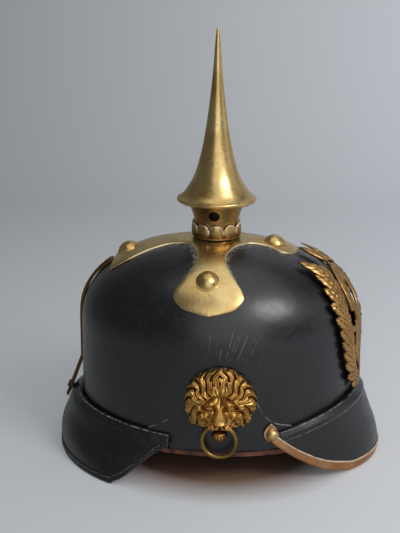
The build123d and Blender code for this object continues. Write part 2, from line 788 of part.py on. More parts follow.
def spine_face(offset_in, offset_out):
    """Side view of the spine between two heights above its seat."""
    inner = spine_path(offset_in)
    outer = spine_path(offset_out)
    run = (SPINE_END_FORWARD - inner[-1][0], SPINE_END_HEIGHT - inner[-1][1])
    length = math.hypot(*run)
    along = (run[0] / length, run[1] / length)
    out = (along[1], -along[0])
    inner_end = (SPINE_END_FORWARD + out[0] * offset_in, SPINE_END_HEIGHT + out[1] * offset_in)
    outer_end = (SPINE_END_FORWARD + out[0] * offset_out, SPINE_END_HEIGHT + out[1] * offset_out)
    return make_face([
        Spline(*inner),
        Line(inner[-1], inner_end),
        Line(inner_end, outer_end),
        Line(outer_end, outer[-1]),
        Spline(*reversed(outer)),
        Line(outer[0], inner[0]),
    ])


def spine_screw_plane():
    """Seat of the screw that holds the spine's foot, on the outer face of the strip."""
    start = spine_path(0)[-1]
    run = (SPINE_END_FORWARD - start[0], SPINE_END_HEIGHT - start[1])
    length = math.hypot(*run)
    along = (run[0] / length, run[1] / length)
    out = (along[1], -along[0])
    forward = SPINE_END_FORWARD - along[0] * SPINE_SCREW_BACK + out[0] * (SPINE_THICKNESS + SPINE_RIB_HEIGHT)
    height = SPINE_END_HEIGHT - along[1] * SPINE_SCREW_BACK + out[1] * (SPINE_THICKNESS + SPINE_RIB_HEIGHT)
    return Plane(origin=(0, -forward, height), z_dir=(0, -out[0], out[1]))


def make_rear_spine():
    strip = extrude(SIDE * spine_face(0, SPINE_THICKNESS), amount=SPINE_HALF_WIDTH, both=True)
    ridge = extrude(SIDE * spine_face(0, SPINE_THICKNESS + SPINE_RIB_HEIGHT), amount=SPINE_RIB_HALF_WIDTH, both=True)
    hole = rod(spine_screw_plane(), SPINE_SCREW_RADIUS + HOLE_CLEARANCE, OVERRUN, OVERRUN)
    return strip + ridge - hole


def skirt_layer(skirt, outer, inner, face):
    """Layer of a visor between two offsets, trimmed to a side-view face."""
    return (skirt(outer) & side_prism(face)) - skirt(inner)


def trim_stud_room(side):
    """Hole for a corner stud's shank, with a round seat for its head."""
    plane = wall_plane(side, TRIM_STUD_FORWARD, TRIM_STUD_HEIGHT, 0)
    room = rod(plane, TRIM_SHANK_RADIUS + HOLE_CLEARANCE, OVERRUN, OVERRUN)
    seat = TRIM_STUD_SEAT - SEAT
    return room + Pos(plane.z_dir * seat) * rod(plane, TRIM_STUD_RADIUS + LOOSE, 0, OVERRUN)


def panel_room():
    """Space of the side panels behind the front visor's corners, which lap over them."""
    front_end = FRONT_CORNER_FORWARD - PANEL_JOINT + SEAT
    face = Pos(front_end - SHELL_LENGTH / 2, 0) * Rectangle(SHELL_LENGTH, 2 * PANEL_TOP)
    return dome(PANEL_FACE + SEAT) & side_prism(face)


def make_front_visor():
    skirt = skirt_layer(front_flare, 0, -VISOR_THICKNESS, rim_face(1, TRIM_FLOOR)) - panel_room()
    return skirt - trim_stud_room(-1) - trim_stud_room(1)


def make_rear_visor():
    skirt = skirt_layer(rear_flare, 0, -VISOR_THICKNESS, rim_face(-1, BINDING_WALL))
    return skirt - rod(spine_screw_plane(), SPINE_SCREW_RADIUS + HOLE_CLEARANCE, OVERRUN, OVERRUN)


def make_front_visor_trim():
    """U-shaped strip along the front rim, with a round tongue under each corner stud."""
    within = -VISOR_THICKNESS - SEAT
    strip = skirt_layer(front_flare, SEAT + TRIM_WALL, within - TRIM_WALL, rim_face(1, 0, TRIM_WIDTH))
    tongue_face = Pos(TRIM_STUD_FORWARD, TRIM_STUD_HEIGHT) * Circle(TRIM_TONGUE_RADIUS)
    strip -= dome(LOOSE)
    strip -= panel_room()
    strip += dome_layer(PANEL_FACE + SEAT, TRIM_STUD_SEAT - SEAT) & side_prism(tongue_face)
    strip -= skirt_layer(front_flare, SEAT, within, rim_face(1, TRIM_FLOOR - SEAT))
    return strip - trim_stud_room(-1) - trim_stud_room(1)


def make_rear_visor_binding():
    """U-shaped leather binding sewn along the neck guard's rim."""
    within = -VISOR_THICKNESS - SEAT
    strip = skirt_layer(rear_flare, SEAT + BINDING_WALL, within - BINDING_WALL, rim_face(-1, 0, BINDING_WIDTH))
    return strip - skirt_layer(rear_flare, SEAT, within, rim_face(-1, BINDING_WALL - SEAT))


def welt_band(way, near):
    """Side view of a welt: the strip just below a visor's root plane."""
    far = way * (max(FRONT_REACH, REAR_REACH) + OVERRUN)
    return make_face(Polyline(
        (near, root_line(way, near) + OVERRUN),
        (far, root_line(way, far) + OVERRUN),
        (far, root_line(way, far) - WELT_WIDTH),
        (near, root_line(way, near) - WELT_WIDTH),
        close=True,
    ))


def make_front_welt():
    strip = skirt_layer(front_flare, SEAT + WELT_THICKNESS, SEAT, welt_band(1, FRONT_WELT_START))
    return strip - side_prism(rim_face(1, -SEAT, TRIM_WIDTH + 2 * SEAT))


def make_rear_welt():
    strip = skirt_layer(rear_flare, SEAT + WELT_THICKNESS, SEAT, welt_band(-1, REAR_CORNER_FORWARD - LOOSE))
    strip -= rod(spine_screw_plane(), SPINE_SCREW_RADIUS + HOLE_CLEARANCE, OVERRUN, OVERRUN)
    binding = rim_face(-1, -SEAT, BINDING_WIDTH + 2 * SEAT)
    return strip - side_prism(binding) - side_prism(Pos(LOOSE, 0) * binding)


def panel_face():
    """Side view of a reinforcement: a level foot and an ogee that rises round the lion."""
    height = PANEL_TOP - PANEL_BOTTOM
    rear = [(PANEL_CENTRE_FORWARD - PANEL_REAR_SPREAD * x, PANEL_BOTTOM + height * z) for x, z in PANEL_REAR_SHARES]
    front = [(PANEL_CENTRE_FORWARD + PANEL_FRONT_SPREAD * x, PANEL_BOTTOM + height * z) for x, z in PANEL_FRONT_SHARES]
    crest = [(PANEL_CENTRE_FORWARD, PANEL_TOP)]
    rear_foot = (rear[0][0], PANEL_BOTTOM)
    front_foot = (front[-1][0], PANEL_BOTTOM)
    return make_face([
        Spline(*rear, *crest, *front),
        Line(front[-1], front_foot),
        Line(front_foot, rear_foot),
        Line(rear_foot, rear[0]),
    ])


def under_root_face(way, near):
    """Side view of all that lies under a visor's root plane, with the panel's joint added."""
    far = way * (max(FRONT_REACH, REAR_REACH) + OVERRUN)
    near = near - way * PANEL_JOINT
    return make_face(Polyline(
        (near, -OVERRUN),
        (far, -OVERRUN),
        (far, root_line(way, far) + PANEL_JOINT),
        (near, root_line(way, near) + PANEL_JOINT),
        close=True,
    ))


def make_side_reinforcement(side):
    panel = dome_layer(SEAT, PANEL_FACE) & side_prism(panel_face()) & half_space(side)
    panel -= side_prism(under_root_face(1, FRONT_CORNER_FORWARD))
    panel -= side_prism(under_root_face(-1, REAR_CORNER_FORWARD))
    trim = wall_plane(side, TRIM_STUD_FORWARD, TRIM_STUD_HEIGHT, 0)
    lion = wall_plane(side, PANEL_CENTRE_FORWARD, LION_POST_HEIGHT, 0)
    panel -= rod(trim, TRIM_SHANK_RADIUS + HOLE_CLEARANCE, OVERRUN, OVERRUN)
    return panel - rod(lion, LION_POST_RADIUS + HOLE_CLEARANCE, OVERRUN, OVERRUN)


def make_trim_studs():
    head = domed_head(TRIM_STUD_RADIUS, TRIM_STUD_RISE, TRIM_STUD_RADIUS, SEAT)
    length = TRIM_STUD_SEAT + SHELL_WALL + LOOSE + SMALL_NUT_THICKNESS + SEAT
    shank = Pos(0, 0, -length / 2) * Cylinder(TRIM_SHANK_RADIUS, length)
    planes = [wall_plane(side, TRIM_STUD_FORWARD, TRIM_STUD_HEIGHT, 0) for side in (-1, 1)]
    return [plane.location * (Pos(0, 0, TRIM_STUD_SEAT) * (head + shank)) for plane in planes]


def make_trim_stud_nuts():
    nut = square_nut(SMALL_NUT_WIDTH, SMALL_NUT_THICKNESS, TRIM_SHANK_RADIUS + STEM_FIT)
    planes = [wall_plane(side, TRIM_STUD_FORWARD, TRIM_STUD_HEIGHT, 0) for side in (-1, 1)]
    return [plane.location * (Pos(0, 0, -SHELL_WALL - LOOSE) * nut) for plane in planes]


def make_spine_screw():
    plane = spine_screw_plane()
    shank = SPINE_NUT_DEPTH + SMALL_NUT_THICKNESS + SEAT
    head = Pos(0, 0, SEAT + SPINE_SCREW_HEAD / 2) * Cylinder(SPINE_SCREW_HEAD_RADIUS, SPINE_SCREW_HEAD)
    bar = Pos(0, 0, SEAT - shank / 2) * Cylinder(SPINE_SCREW_RADIUS, shank)
    return plane.location * (head + bar)


def make_spine_nut():
    nut = square_nut(SMALL_NUT_WIDTH, SMALL_NUT_THICKNESS, SPINE_SCREW_RADIUS + STEM_FIT)
    return spine_screw_plane().location * (Pos(0, 0, -SPINE_NUT_DEPTH) * nut)


def lion_seat(side):
    """Place of the panel's face behind the lion's centre line, and the forward offset of it."""
    return wall_plane(side, PANEL_CENTRE_FORWARD, LION_HEIGHT, PANEL_FACE).origin


def oval_ball(rise, half_width, half_height):
    """Ellipsoid with its semi-axes along X, Y and Z."""
    return scale(Sphere(rise), by=(1, half_width / rise, half_height / rise))


def make_lion_boss(side):
    """Lion's head: a ring of mane locks, face, brows, nose, muzzle and a chin inside the ring."""
    seat = lion_seat(side)
    y = seat.Y
    face_x = side * abs(seat.X)

    def lump(rise, half_width, half_height, aside, height):
        return Pos(face_x, y + aside, height) * oval_ball(rise, half_width, half_height)

    outline = Circle(MANE_HALF_WIDTH - LOCK_RADIUS / 2)
    for lock in range(MANE_LOCKS):
        spot = PolarLocations(MANE_HALF_WIDTH - LOCK_RADIUS, 1, 360 * lock / MANE_LOCKS)
        outline += spot * Circle(LOCK_RADIUS)
    mane = Pos(0, y, LION_HEIGHT) * extrude(Plane.YZ * outline, amount=SHELL_WIDTH, both=True)
    mane &= lump(MANE_RISE, MANE_HALF_WIDTH * 4 / 3, MANE_HALF_HEIGHT * 4 / 3, 0, LION_HEIGHT)
    lion = mane + lump(FACE_RISE, FACE_HALF_WIDTH, FACE_HALF_HEIGHT, 0, LION_HEIGHT)
    for aside in (-BROW_SPREAD, BROW_SPREAD):
        brow = Pos(face_x + side * (BROW_RISE - BROW_RADIUS), y + aside, BROW_HEIGHT) * Sphere(BROW_RADIUS)
        lion += brow
    lion += lump(NOSE_RISE, NOSE_HALF_WIDTH, NOSE_HALF_HEIGHT, 0, NOSE_HEIGHT)
    lion += lump(MUZZLE_RISE, MUZZLE_HALF_WIDTH, MUZZLE_HALF_HEIGHT, 0, MUZZLE_HEIGHT)
    lion += lump(CHIN_RISE, CHIN_HALF_WIDTH, CHIN_HALF_HEIGHT, 0, CHIN_HEIGHT)
    lion -= dome(PANEL_FACE + LOOSE)
    lion -= ring_room(side)
    plane = wall_plane(side, PANEL_CENTRE_FORWARD, LION_POST_HEIGHT, 0)
    socket_depth = PANEL_FACE + LION_POST_SOCKET
    return lion - rod(plane, LION_POST_RADIUS + STEM_FIT, 0, socket_depth)


def ring_centre(side):
    """Pivot of a ring: the middle of its wire at the top, behind the lion's jaw."""
    seat = lion_seat(side)
    return (side * (abs(seat.X) + RING_STAND), seat.Y, RING_TOP)


def ring_room(side):
    """Space behind and under the lion that lets the ring swing, and the eye that carries it."""
    x, y, z = ring_centre(side)
    pivot = Pos(x, y, z)
    along_y = Rot(90, 0, 0)
    wire = RING_WIRE + RING_EYE_CLEARANCE
    eye = pivot * along_y * Cylinder(wire, 2 * RING_SLOT_HALF_WIDTH)
    arch = pivot * along_y * Cylinder(RING_RADIUS / 2, 2 * RING_ARCH_HALF_WIDTH)
    arch -= pivot * along_y * Cylinder(RING_RADIUS, 2 * RING_EYE_HALF_WIDTH)
    reach = 2 * RING_RADIUS + 2 * wire
    inward = math.radians(RING_BACK_SWING + RING_SWING_MARGIN)
    outward = math.radians(RING_SWING + RING_SWING_MARGIN)
    middle = (outward - inward) / 2
    far = reach / math.cos((outward + inward) / 2)
    sector = make_face(Polyline(
        (-side * wire * math.cos(inward), wire * math.sin(inward)),
        swing_point(side, -inward, reach, wire),
        (side * far * math.sin(middle), -far * math.cos(middle)),
        swing_point(side, outward, reach, wire),
        (side * wire * math.cos(outward), wire * math.sin(outward)),
        close=True,
    ))
    width = RING_SLOT_HALF_WIDTH - RING_ARCH_HALF_WIDTH
    room = eye + arch
    for way in (-1, 1):
        slot = extrude(Plane.XZ * sector, amount=width / 2, both=True)
        bend = along_y * Cylinder(wire, width)
        room += Pos(x, y + way * (RING_SLOT_HALF_WIDTH + RING_ARCH_HALF_WIDTH) / 2, z) * (slot + bend)
    return room


def swing_point(side, angle, reach, wire):
    """Far corner of the ring's sweep at one end of its swing, `angle` outward from hanging."""
    way = 1 if angle > 0 else -1
    across = reach * math.sin(angle) + way * wire * math.cos(angle)
    down = reach * math.cos(angle) - way * wire * math.sin(angle)
    return (side * across, -down)


def make_ring(side):
    x, y, z = ring_centre(side)
    ring = Rot(0, 90, 0) * Torus(RING_RADIUS, RING_WIRE)
    return Pos(x, y, z - RING_RADIUS) * ring


def make_lion_posts():
    """Threaded posts that hold the lions through panel and skull."""
    above = PANEL_FACE + LION_POST_SOCKET - LOOSE
    below = SHELL_WALL + LOOSE + SMALL_NUT_THICKNESS
    planes = [wall_plane(side, PANEL_CENTRE_FORWARD, LION_POST_HEIGHT, 0) for side in (-1, 1)]
    return [rod(plane, LION_POST_RADIUS, below, above) for plane in planes]


def make_lion_nuts():
    nut = square_nut(NUT_WIDTH, SMALL_NUT_THICKNESS, LION_POST_RADIUS + STEM_FIT)
    planes = [wall_plane(side, PANEL_CENTRE_FORWARD, LION_POST_HEIGHT, 0) for side in (-1, 1)]
    return [plane.location * (Pos(0, 0, -SHELL_WALL - LOOSE) * nut) for plane in planes]


def plate_point(across_share, height_share):
    """Place on the plate's front view from shares of its half-width and of its height."""
    return (PLATE_HALF_WIDTH * across_share, PLATE_BOTTOM + (PLATE_TOP - PLATE_BOTTOM) * height_share)


def branch_face(side):
    """One leafy branch: a curved stem with leaves set alternately to its two sides."""
    points = [plate_point(side * x, z) for x, z in BRANCH_SHARES]
    line = Spline(*points)
    branch = trace(line, STEM_WIDTH)
    leaf = Ellipse(LEAF_HALF_LENGTH, LEAF_HALF_WIDTH)
    for place in range(LEAF_COUNT):
        share = (place + 1) / (LEAF_COUNT + 1)
        at = line @ share
        heading = line % share
        angle = math.degrees(math.atan2(heading.Y, heading.X))
        for tilt in (-LEAF_TILT, LEAF_TILT):
            turn = math.radians(angle + tilt)
            spot = Pos(at.X + LEAF_HALF_LENGTH / 2 * math.cos(turn), at.Y + LEAF_HALF_LENGTH / 2 * math.sin(turn))
            branch += spot * Rot(0, 0, angle + tilt) * leaf
    return branch


def shield_face():
    """Plain shield with a level top and sides that curve to a point."""
    top_left = plate_point(-SHIELD_WIDTH_SHARE, SHIELD_TOP_SHARE)
    top_right = plate_point(SHIELD_WIDTH_SHARE, SHIELD_TOP_SHARE)
    left = plate_point(-SHIELD_WIDTH_SHARE, SHIELD_SHOULDER_SHARE)
    right = plate_point(SHIELD_WIDTH_SHARE, SHIELD_SHOULDER_SHARE)
    point = plate_point(0, SHIELD_POINT_SHARE)
    return make_face([
        Line(top_left, top_right),
        Line(top_right, right),
        TangentArc(right, point, tangent=(0, -1)),
        TangentArc(left, point, tangent=(0, -1)),
        Line(left, top_left),
    ])


def crown_face():
    """Closed crown over the shield: band, arched body with two windows, and an orb."""
    band_share, band_low, band_high = CROWN_BAND_SHARES
    body_share, body_top = CROWN_BODY_SHARES
    low = plate_point(-band_share, band_low)
    high = plate_point(band_share, band_high)
    band = Pos(0, (low[1] + high[1]) / 2) * Rectangle(high[0] - low[0], high[1] - low[1])
    body_half = PLATE_HALF_WIDTH * body_share
    body_base = high[1]
    body_rise = plate_point(0, body_top)[1] - body_base
    body = Pos(0, body_base) * Ellipse(body_half, body_rise)
    body &= Pos(0, body_base + body_rise / 2) * Rectangle(2 * body_half, body_rise + SEAT)
    size = PLATE_TOP - PLATE_BOTTOM
    aside, up, half_width, half_height = CROWN_WINDOW_SHARES
    window = Ellipse(size * half_width, size * half_height)
    for side in (-1, 1):
        place = Pos(side * body_half * aside, body_base + body_rise * up)
        body -= place * Rot(0, 0, side * CROWN_WINDOW_TILT) * window
    orb = Pos(0, PLATE_TOP - size * CROWN_ORB_SHARE) * Circle(size * CROWN_ORB_SHARE)
    neck = Pos(0, (body_base + PLATE_TOP) / 2) * Rectangle(STEM_WIDTH, PLATE_TOP - body_base - SEAT)
    return band + body + orb + neck


def plate_face():
    """Front view of the whole emblem, one connected openwork face."""
    face = shield_face() + crown_face()
    size = PLATE_TOP - PLATE_BOTTOM
    bar_width, bar_height, bar_thickness = BAR_SHARES
    bar = Rectangle(2 * PLATE_HALF_WIDTH * bar_width, size * bar_thickness)
    face += Pos(*plate_point(0, bar_height)) * bar
    ribbon_width, ribbon_height, ribbon_thickness = RIBBON_SHARES
    knot = plate_point(0, ribbon_height)
    face += Pos(*knot) * Ellipse(PLATE_HALF_WIDTH * ribbon_width, size * ribbon_thickness / 2)
    tail = Rectangle(STEM_WIDTH * 2, size * SHIELD_POINT_SHARE)
    face += Pos(0, (knot[1] + plate_point(0, SHIELD_POINT_SHARE)[1]) / 2) * tail
    for side in (-1, 1):
        face += branch_face(side)
    return face


def plate_post_planes():
    """Seats of the plate's two posts on the front of the skull."""
    level = (POST_HEIGHT - WALL_TOP) / (SHELL_TOP - WALL_TOP)
    radius = (1 - level ** CROWN_EXPONENT) ** (1 / CROWN_EXPONENT)
    y = -HALF_LENGTH * math.sqrt(radius ** 2 - (POST_SPREAD / HALF_WIDTH) ** 2)
    return [crown_plane(side * POST_SPREAD, y, 0) for side in (-1, 1)]


def make_front_plate():
    plate = dome_layer(PLATE_STAND, PLATE_STAND + PLATE_THICKNESS)
    return plate & extrude(Plane.XZ * plate_face(), amount=SHELL_LENGTH)


def make_plate_posts():
    """Posts behind the emblem: a collar that keeps it off the skull, and a threaded tail."""
    below = SHELL_WALL + LOOSE + SMALL_NUT_THICKNESS
    above = PLATE_STAND - LOOSE
    collar = Pos(0, 0, (above + LOOSE) / 2) * Cylinder(POST_COLLAR_RADIUS, above - LOOSE)
    tail = Pos(0, 0, (above - below) / 2) * Cylinder(POST_RADIUS, above + below)
    return [plane.location * (collar + tail) for plane in plate_post_planes()]


def make_plate_nuts():
    nut = square_nut(SMALL_NUT_WIDTH, SMALL_NUT_THICKNESS, POST_RADIUS + STEM_FIT)
    return [plane.location * (Pos(0, 0, -SHELL_WALL - LOOSE) * nut) for plane in plate_post_planes()]


def make_sweatband():
    """Leather band that stands free inside the skull and rolls round under its lower edge."""
    band = oval_prism(-BAND_STAND, BAND_BOTTOM, BAND_TOP)
    band += oval_prism(BAND_LIP, BAND_BOTTOM, SHELL_BOTTOM - SEAT)
    band -= oval_prism(-BAND_STAND - BAND_THICKNESS, -OVERRUN, SHELL_TOP)
    gutter = oval_prism(-SHELL_WALL, BAND_BOTTOM + BAND_THICKNESS, SHELL_TOP)
    gutter -= oval_prism(-BAND_STAND, -OVERRUN, SHELL_TOP + OVERRUN)
    return band - gutter


def make_liner():
    """Lining of leather tongues, gathered round an open eye under the crown."""
    outside = BAND_STAND + BAND_THICKNESS + SEAT
    inside = outside + LINER_THICKNESS
    lining = crown_solid(HALF_LENGTH - outside, HALF_WIDTH - outside, LINER_TOP, LINER_BOTTOM)
    lining -= crown_solid(HALF_LENGTH - inside, HALF_WIDTH - inside, LINER_TOP - LINER_THICKNESS, 0)
    lining -= Pos(0, 0, LINER_TOP) * Cylinder(LINER_EYE_RADIUS, LINER_TOP)
    tall = LINER_TOP - LINER_SLOT_FOOT + OVERRUN
    slot = Pos(HALF_LENGTH / 2, 0, LINER_SLOT_FOOT + tall / 2) * Box(SHELL_LENGTH / 2, LINER_SLOT_WIDTH, tall)
    for cut in range(LINER_SLOTS):
        lining -= Rot(0, 0, 360 * (cut + 1 / 2) / LINER_SLOTS) * slot
    return lining


def save(name, shape):
    """Write one node, whether it is a single piece or a list of like pieces."""
    body = Compound(children=list(shape)) if isinstance(shape, list) else shape
    body = Pos(0, PLAN_SHIFT, 0) * body
    export_step(body, os.path.join("parts", name + ".step"))
    print(name, round(body.volume, 1))


def main():
    os.makedirs("parts", exist_ok=True)
    save("leather_shell", make_leather_shell())
    save("side_reinforcement_right", make_side_reinforcement(-1))
    save("side_reinforcement_left", make_side_reinforcement(1))
    save("front_visor", make_front_visor())
    save("rear_visor", make_rear_visor())
    save("front_visor_trim", make_front_visor_trim())
    save("rear_visor_binding", make_rear_visor_binding())
    save("front_welt", make_front_welt())
    save("rear_welt", make_rear_welt())
    save("trim_studs", make_trim_studs())
    save("trim_stud_nuts", make_trim_stud_nuts())
    save("cross_base", make_cross_base())
    save("cross_studs", make_cross_studs())
    save("cross_stud_washers", make_cross_stud_washers())
    save("cross_stud_nuts", make_cross_stud_nuts())
    save("neck_collar", make_neck_collar())
    save("petal_crown", make_petal_crown())
    save("spike_socket", make_spike_socket())
    save("spike_washer", make_spike_washer())
    save("spike", make_spike())
    save("spike_base_plate", make_spike_base_plate())
    save("spike_stem", make_spike_stem())
    save("rear_spine", make_rear_spine())
    save("spine_screw", make_spine_screw())
    save("spine_nut", make_spine_nut())
    save("front_plate", make_front_plate())
    save("plate_posts", make_plate_posts())
    save("plate_nuts", make_plate_nuts())
    save("lion_boss_right", make_lion_boss(-1))
    save("lion_boss_left", make_lion_boss(1))
    save("lion_posts", make_lion_posts())
    save("lion_nuts", make_lion_nuts())
    save("ring_right", make_ring(-1))
    save("ring_left", make_ring(1))
    save("sweatband", make_sweatband())
    save("liner", make_liner())


main()
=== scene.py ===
# %% [markdown]
# # A spiked leather helmet, dressed over its own solid model
#
# The helmet is boiled leather with brass fittings. Its solid model gives every place and size.
# Here each piece gets the surface that the eye sees: grain, stitches, cast relief and wear.
# New surfaces are worked out with numpy as functions of two parameters, because a formula gives
# a smooth curved wall where a solid's triangles show flat spots.

import json
import math

import bpy
import numpy as np
from mathutils import Matrix


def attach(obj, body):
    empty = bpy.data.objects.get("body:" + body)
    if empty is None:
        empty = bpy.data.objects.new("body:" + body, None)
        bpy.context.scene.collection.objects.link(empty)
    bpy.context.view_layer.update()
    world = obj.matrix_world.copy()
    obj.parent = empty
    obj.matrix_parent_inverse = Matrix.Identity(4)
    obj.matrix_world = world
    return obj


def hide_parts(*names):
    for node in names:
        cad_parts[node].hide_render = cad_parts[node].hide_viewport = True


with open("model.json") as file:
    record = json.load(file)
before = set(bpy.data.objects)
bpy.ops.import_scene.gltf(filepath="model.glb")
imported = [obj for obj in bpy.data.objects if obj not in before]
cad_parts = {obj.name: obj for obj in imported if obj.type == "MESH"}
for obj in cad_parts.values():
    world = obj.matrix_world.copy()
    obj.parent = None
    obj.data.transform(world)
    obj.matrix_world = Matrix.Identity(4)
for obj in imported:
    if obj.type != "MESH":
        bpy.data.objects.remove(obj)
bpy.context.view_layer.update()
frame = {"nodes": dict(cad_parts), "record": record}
nodes = frame["nodes"]

# %% [markdown]
# ## Sizes
#
# The skull is a superellipse over an oval plan: upright walls, a full crown. The visors are
# skirts whose sections are ovals on tilted planes. The same few numbers place every piece.

# %% Sizes of the helmet, in metres
MM = 0.001
HALF_LENGTH, HALF_WIDTH = 117.8 * MM, 94.0 * MM
WALL_TOP, SHELL_TOP, SHELL_BOTTOM = 110.0 * MM, 184.5 * MM, 29.0 * MM
SHELL_WALL = 2.6 * MM
CROWN_EXPONENT = 2.25
SPIKE_Y = 1.8 * MM
PANEL_FACE = 1.7 * MM
LION_FORWARD, LION_HEIGHT = 11.6 * MM, 74.0 * MM
FLOOR = 0.02 * MM
# Pieces are made round the skull's middle, which lies this far behind the origin.
PLAN_SHIFT = np.array([0, 3.0, 0]) * MM
RIGHT_AND_LEFT = ((-1, "right"), (1, "left"))

# %% [markdown]
# ## Camera
#
# The photograph looks at the helmet's right side, a little from the front and from above.
# A long lens from one metre away gives the same gentle perspective.

# %% Camera
CAMERA_AT = np.array([-996.5, -93.6, 447.6]) * MM
CAMERA_PITCH, CAMERA_ROLL, CAMERA_YAW, CAMERA_BEARING = np.radians([16.12, 0.27, 0.79, 5.64])
FOCAL_PIXELS, IMAGE_HEIGHT, SENSOR = 1218.0, 533.0, 36.0

level_forward = np.array([math.cos(CAMERA_BEARING), math.sin(CAMERA_BEARING), 0.0])
level_right = np.array([math.sin(CAMERA_BEARING), -math.cos(CAMERA_BEARING), 0.0])
ahead = level_forward * math.cos(CAMERA_YAW) - level_right * math.sin(CAMERA_YAW)
right = level_right * math.cos(CAMERA_YAW) + level_forward * math.sin(CAMERA_YAW)
zenith = np.array([0.0, 0.0, 1.0])
forward = ahead * math.cos(CAMERA_PITCH) - zenith * math.sin(CAMERA_PITCH)
upward = zenith * math.cos(CAMERA_PITCH) + ahead * math.sin(CAMERA_PITCH)
rolled_right = right * math.cos(CAMERA_ROLL) + upward * math.sin(CAMERA_ROLL)
rolled_up = upward * math.cos(CAMERA_ROLL) - right * math.sin(CAMERA_ROLL)


def place_object(name, data, right_way, up_way, back_way, at):
    """Object whose own axes point right, up and backward, as a camera's and a lamp's do."""
    holder = bpy.data.objects.new(name, data)
    turn = np.eye(4)
    turn[:3] = np.stack([right_way, up_way, back_way, at], -1)
    holder.matrix_world = Matrix(turn.tolist())
    bpy.context.scene.collection.objects.link(holder)
    return holder


camera = place_object("camera", bpy.data.cameras.new("camera"), rolled_right, rolled_up, -forward, CAMERA_AT)
camera.data.sensor_width = SENSOR
camera.data.lens = FOCAL_PIXELS / IMAGE_HEIGHT * SENSOR
bpy.context.scene.camera = camera
bpy.context.scene.view_settings.view_transform = "Standard"
print("lens", round(camera.data.lens, 1))

# %% [markdown]
# ## Helpers for meshes and materials
#
# A surface is a grid of points. One helper turns a grid into faces, another links the piece to
# its body, its finish and the solid that it stands for. Materials grow node by node from `add`.

# %% Mesh helpers
def show(mesh, material):
    """Smooth object at the origin, named after its mesh."""
    piece = bpy.data.objects.new(mesh.name, mesh)
    bpy.context.scene.collection.objects.link(piece)
    mesh.materials.append(material)
    mesh.polygons.foreach_set("use_smooth", np.ones(len(mesh.polygons), bool))
    return piece


def link_piece(mesh, material, stands_for=None):
    """Piece of the helmet with the given material, linked to the helmet's body, that may stand for a solid
    node.
    """
    piece = show(mesh, material)
    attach(piece, "helmet")
    if stands_for:
        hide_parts(stands_for)
    print(mesh.name, len(mesh.polygons), "faces")


def unit(vectors):
    """Vectors of length 1 along the last axis."""
    return vectors / np.linalg.norm(vectors, axis=-1, keepdims=True)


def spread(values, points):
    """The same row of values for every row of a point grid."""
    return np.broadcast_to(np.asarray(values, float), points.shape[:2])


def grid_faces(rows, columns, close_rows=False, close_columns=False):
    """Quads between neighbours (i, j), (i+1, j), (i+1, j+1), (i, j+1) of a grid, as index arrays."""
    i = np.arange(rows if close_rows else rows - 1)
    j = np.arange(columns if close_columns else columns - 1)
    i, j = np.meshgrid(i, j, indexing="ij")
    next_i, next_j = (i + 1) % rows, (j + 1) % columns
    corners = (i, j), (next_i, j), (next_i, next_j), (i, next_j)
    return np.stack([row * columns + column for row, column in corners], -1).reshape(-1, 4)


def end_fans(rows, columns):
    """Triangles that close the first and last rows of a grid round two more points, numbers n and n + 1."""
    here = np.arange(columns)
    after = (here + 1) % columns
    last = (rows - 1) * columns
    near = np.stack([np.full(columns, rows * columns), here, after], -1)
    far = np.stack([np.full(columns, rows * columns + 1), after + last, here + last], -1)
    return [near, far]


def mesh_from(name, points, faces, attributes=None, closed=True):
    """Mesh from points (n, 3) and arrays of quads or triangles, with float attributes on its points.

    A closed mesh is turned outward: its signed volume, a sum of a . (b x c) / 6, has to be positive."""
    points = np.asarray(points, float).reshape(-1, 3) + PLAN_SHIFT
    volume = 0.0
    for block in faces:
        for k in range(1, block.shape[1] - 1):
            a, b, c = (points[block[:, i]] for i in (0, k, k + 1))
            volume += (a * np.cross(b, c)).sum() / 6
    if closed and volume < 0:
        faces = [block[:, ::-1] for block in faces]
    corners = np.concatenate([block.ravel() for block in faces])
    sizes = np.concatenate([np.full(len(block), block.shape[1]) for block in faces])
    mesh = bpy.data.meshes.new(name)
    mesh.vertices.add(len(points))
    mesh.vertices.foreach_set("co", points.ravel())
    mesh.loops.add(len(corners))
    mesh.loops.foreach_set("vertex_index", corners.astype(np.int32))
    mesh.polygons.add(len(sizes))
    mesh.polygons.foreach_set("loop_start", np.concatenate([[0], np.cumsum(sizes)[:-1]]).astype(np.int32))
    for key, values in (attributes or {}).items():
        layer = mesh.attributes.new(key, "FLOAT", "POINT")
        layer.data.foreach_set("value", np.asarray(values, np.float32).ravel())
    mesh.update(calc_edges=True)
    mesh.validate()
    return mesh


def step_up(x, low, high):
    """Smooth step from 0 at low to 1 at high."""
    t = np.clip((x - low) / (high - low), 0, 1)
    return t * t * (3 - 2 * t)


# %% Material helpers
def linear(colour):
    """sRGB hex colour as linear RGBA: each channel c becomes ((c + 0.055) / 1.055) to the 2.4."""
    channels = np.array([int(colour[k:k + 2], 16) for k in (1, 3, 5)]) / 255
    channels = np.where(channels <= 0.04045, channels / 12.92, ((channels + 0.055) / 1.055) ** 2.4)
    return (*channels.tolist(), 1.0)


def add(tree, kind, settings=(), **inputs):
    """Adds a node with its settings; an input is a value or another node's output."""
    node = tree.nodes.new(kind)
    for key, value in dict(settings).items():
        setattr(node, key, value)
    for key, value in inputs.items():
        socket = node.inputs[int(key[1:])] if key[0] == "_" else node.inputs[key.replace("_", " ")]
        if isinstance(value, bpy.types.NodeSocket):
            tree.links.new(value, socket)
        else:
            socket.default_value = value
    return node


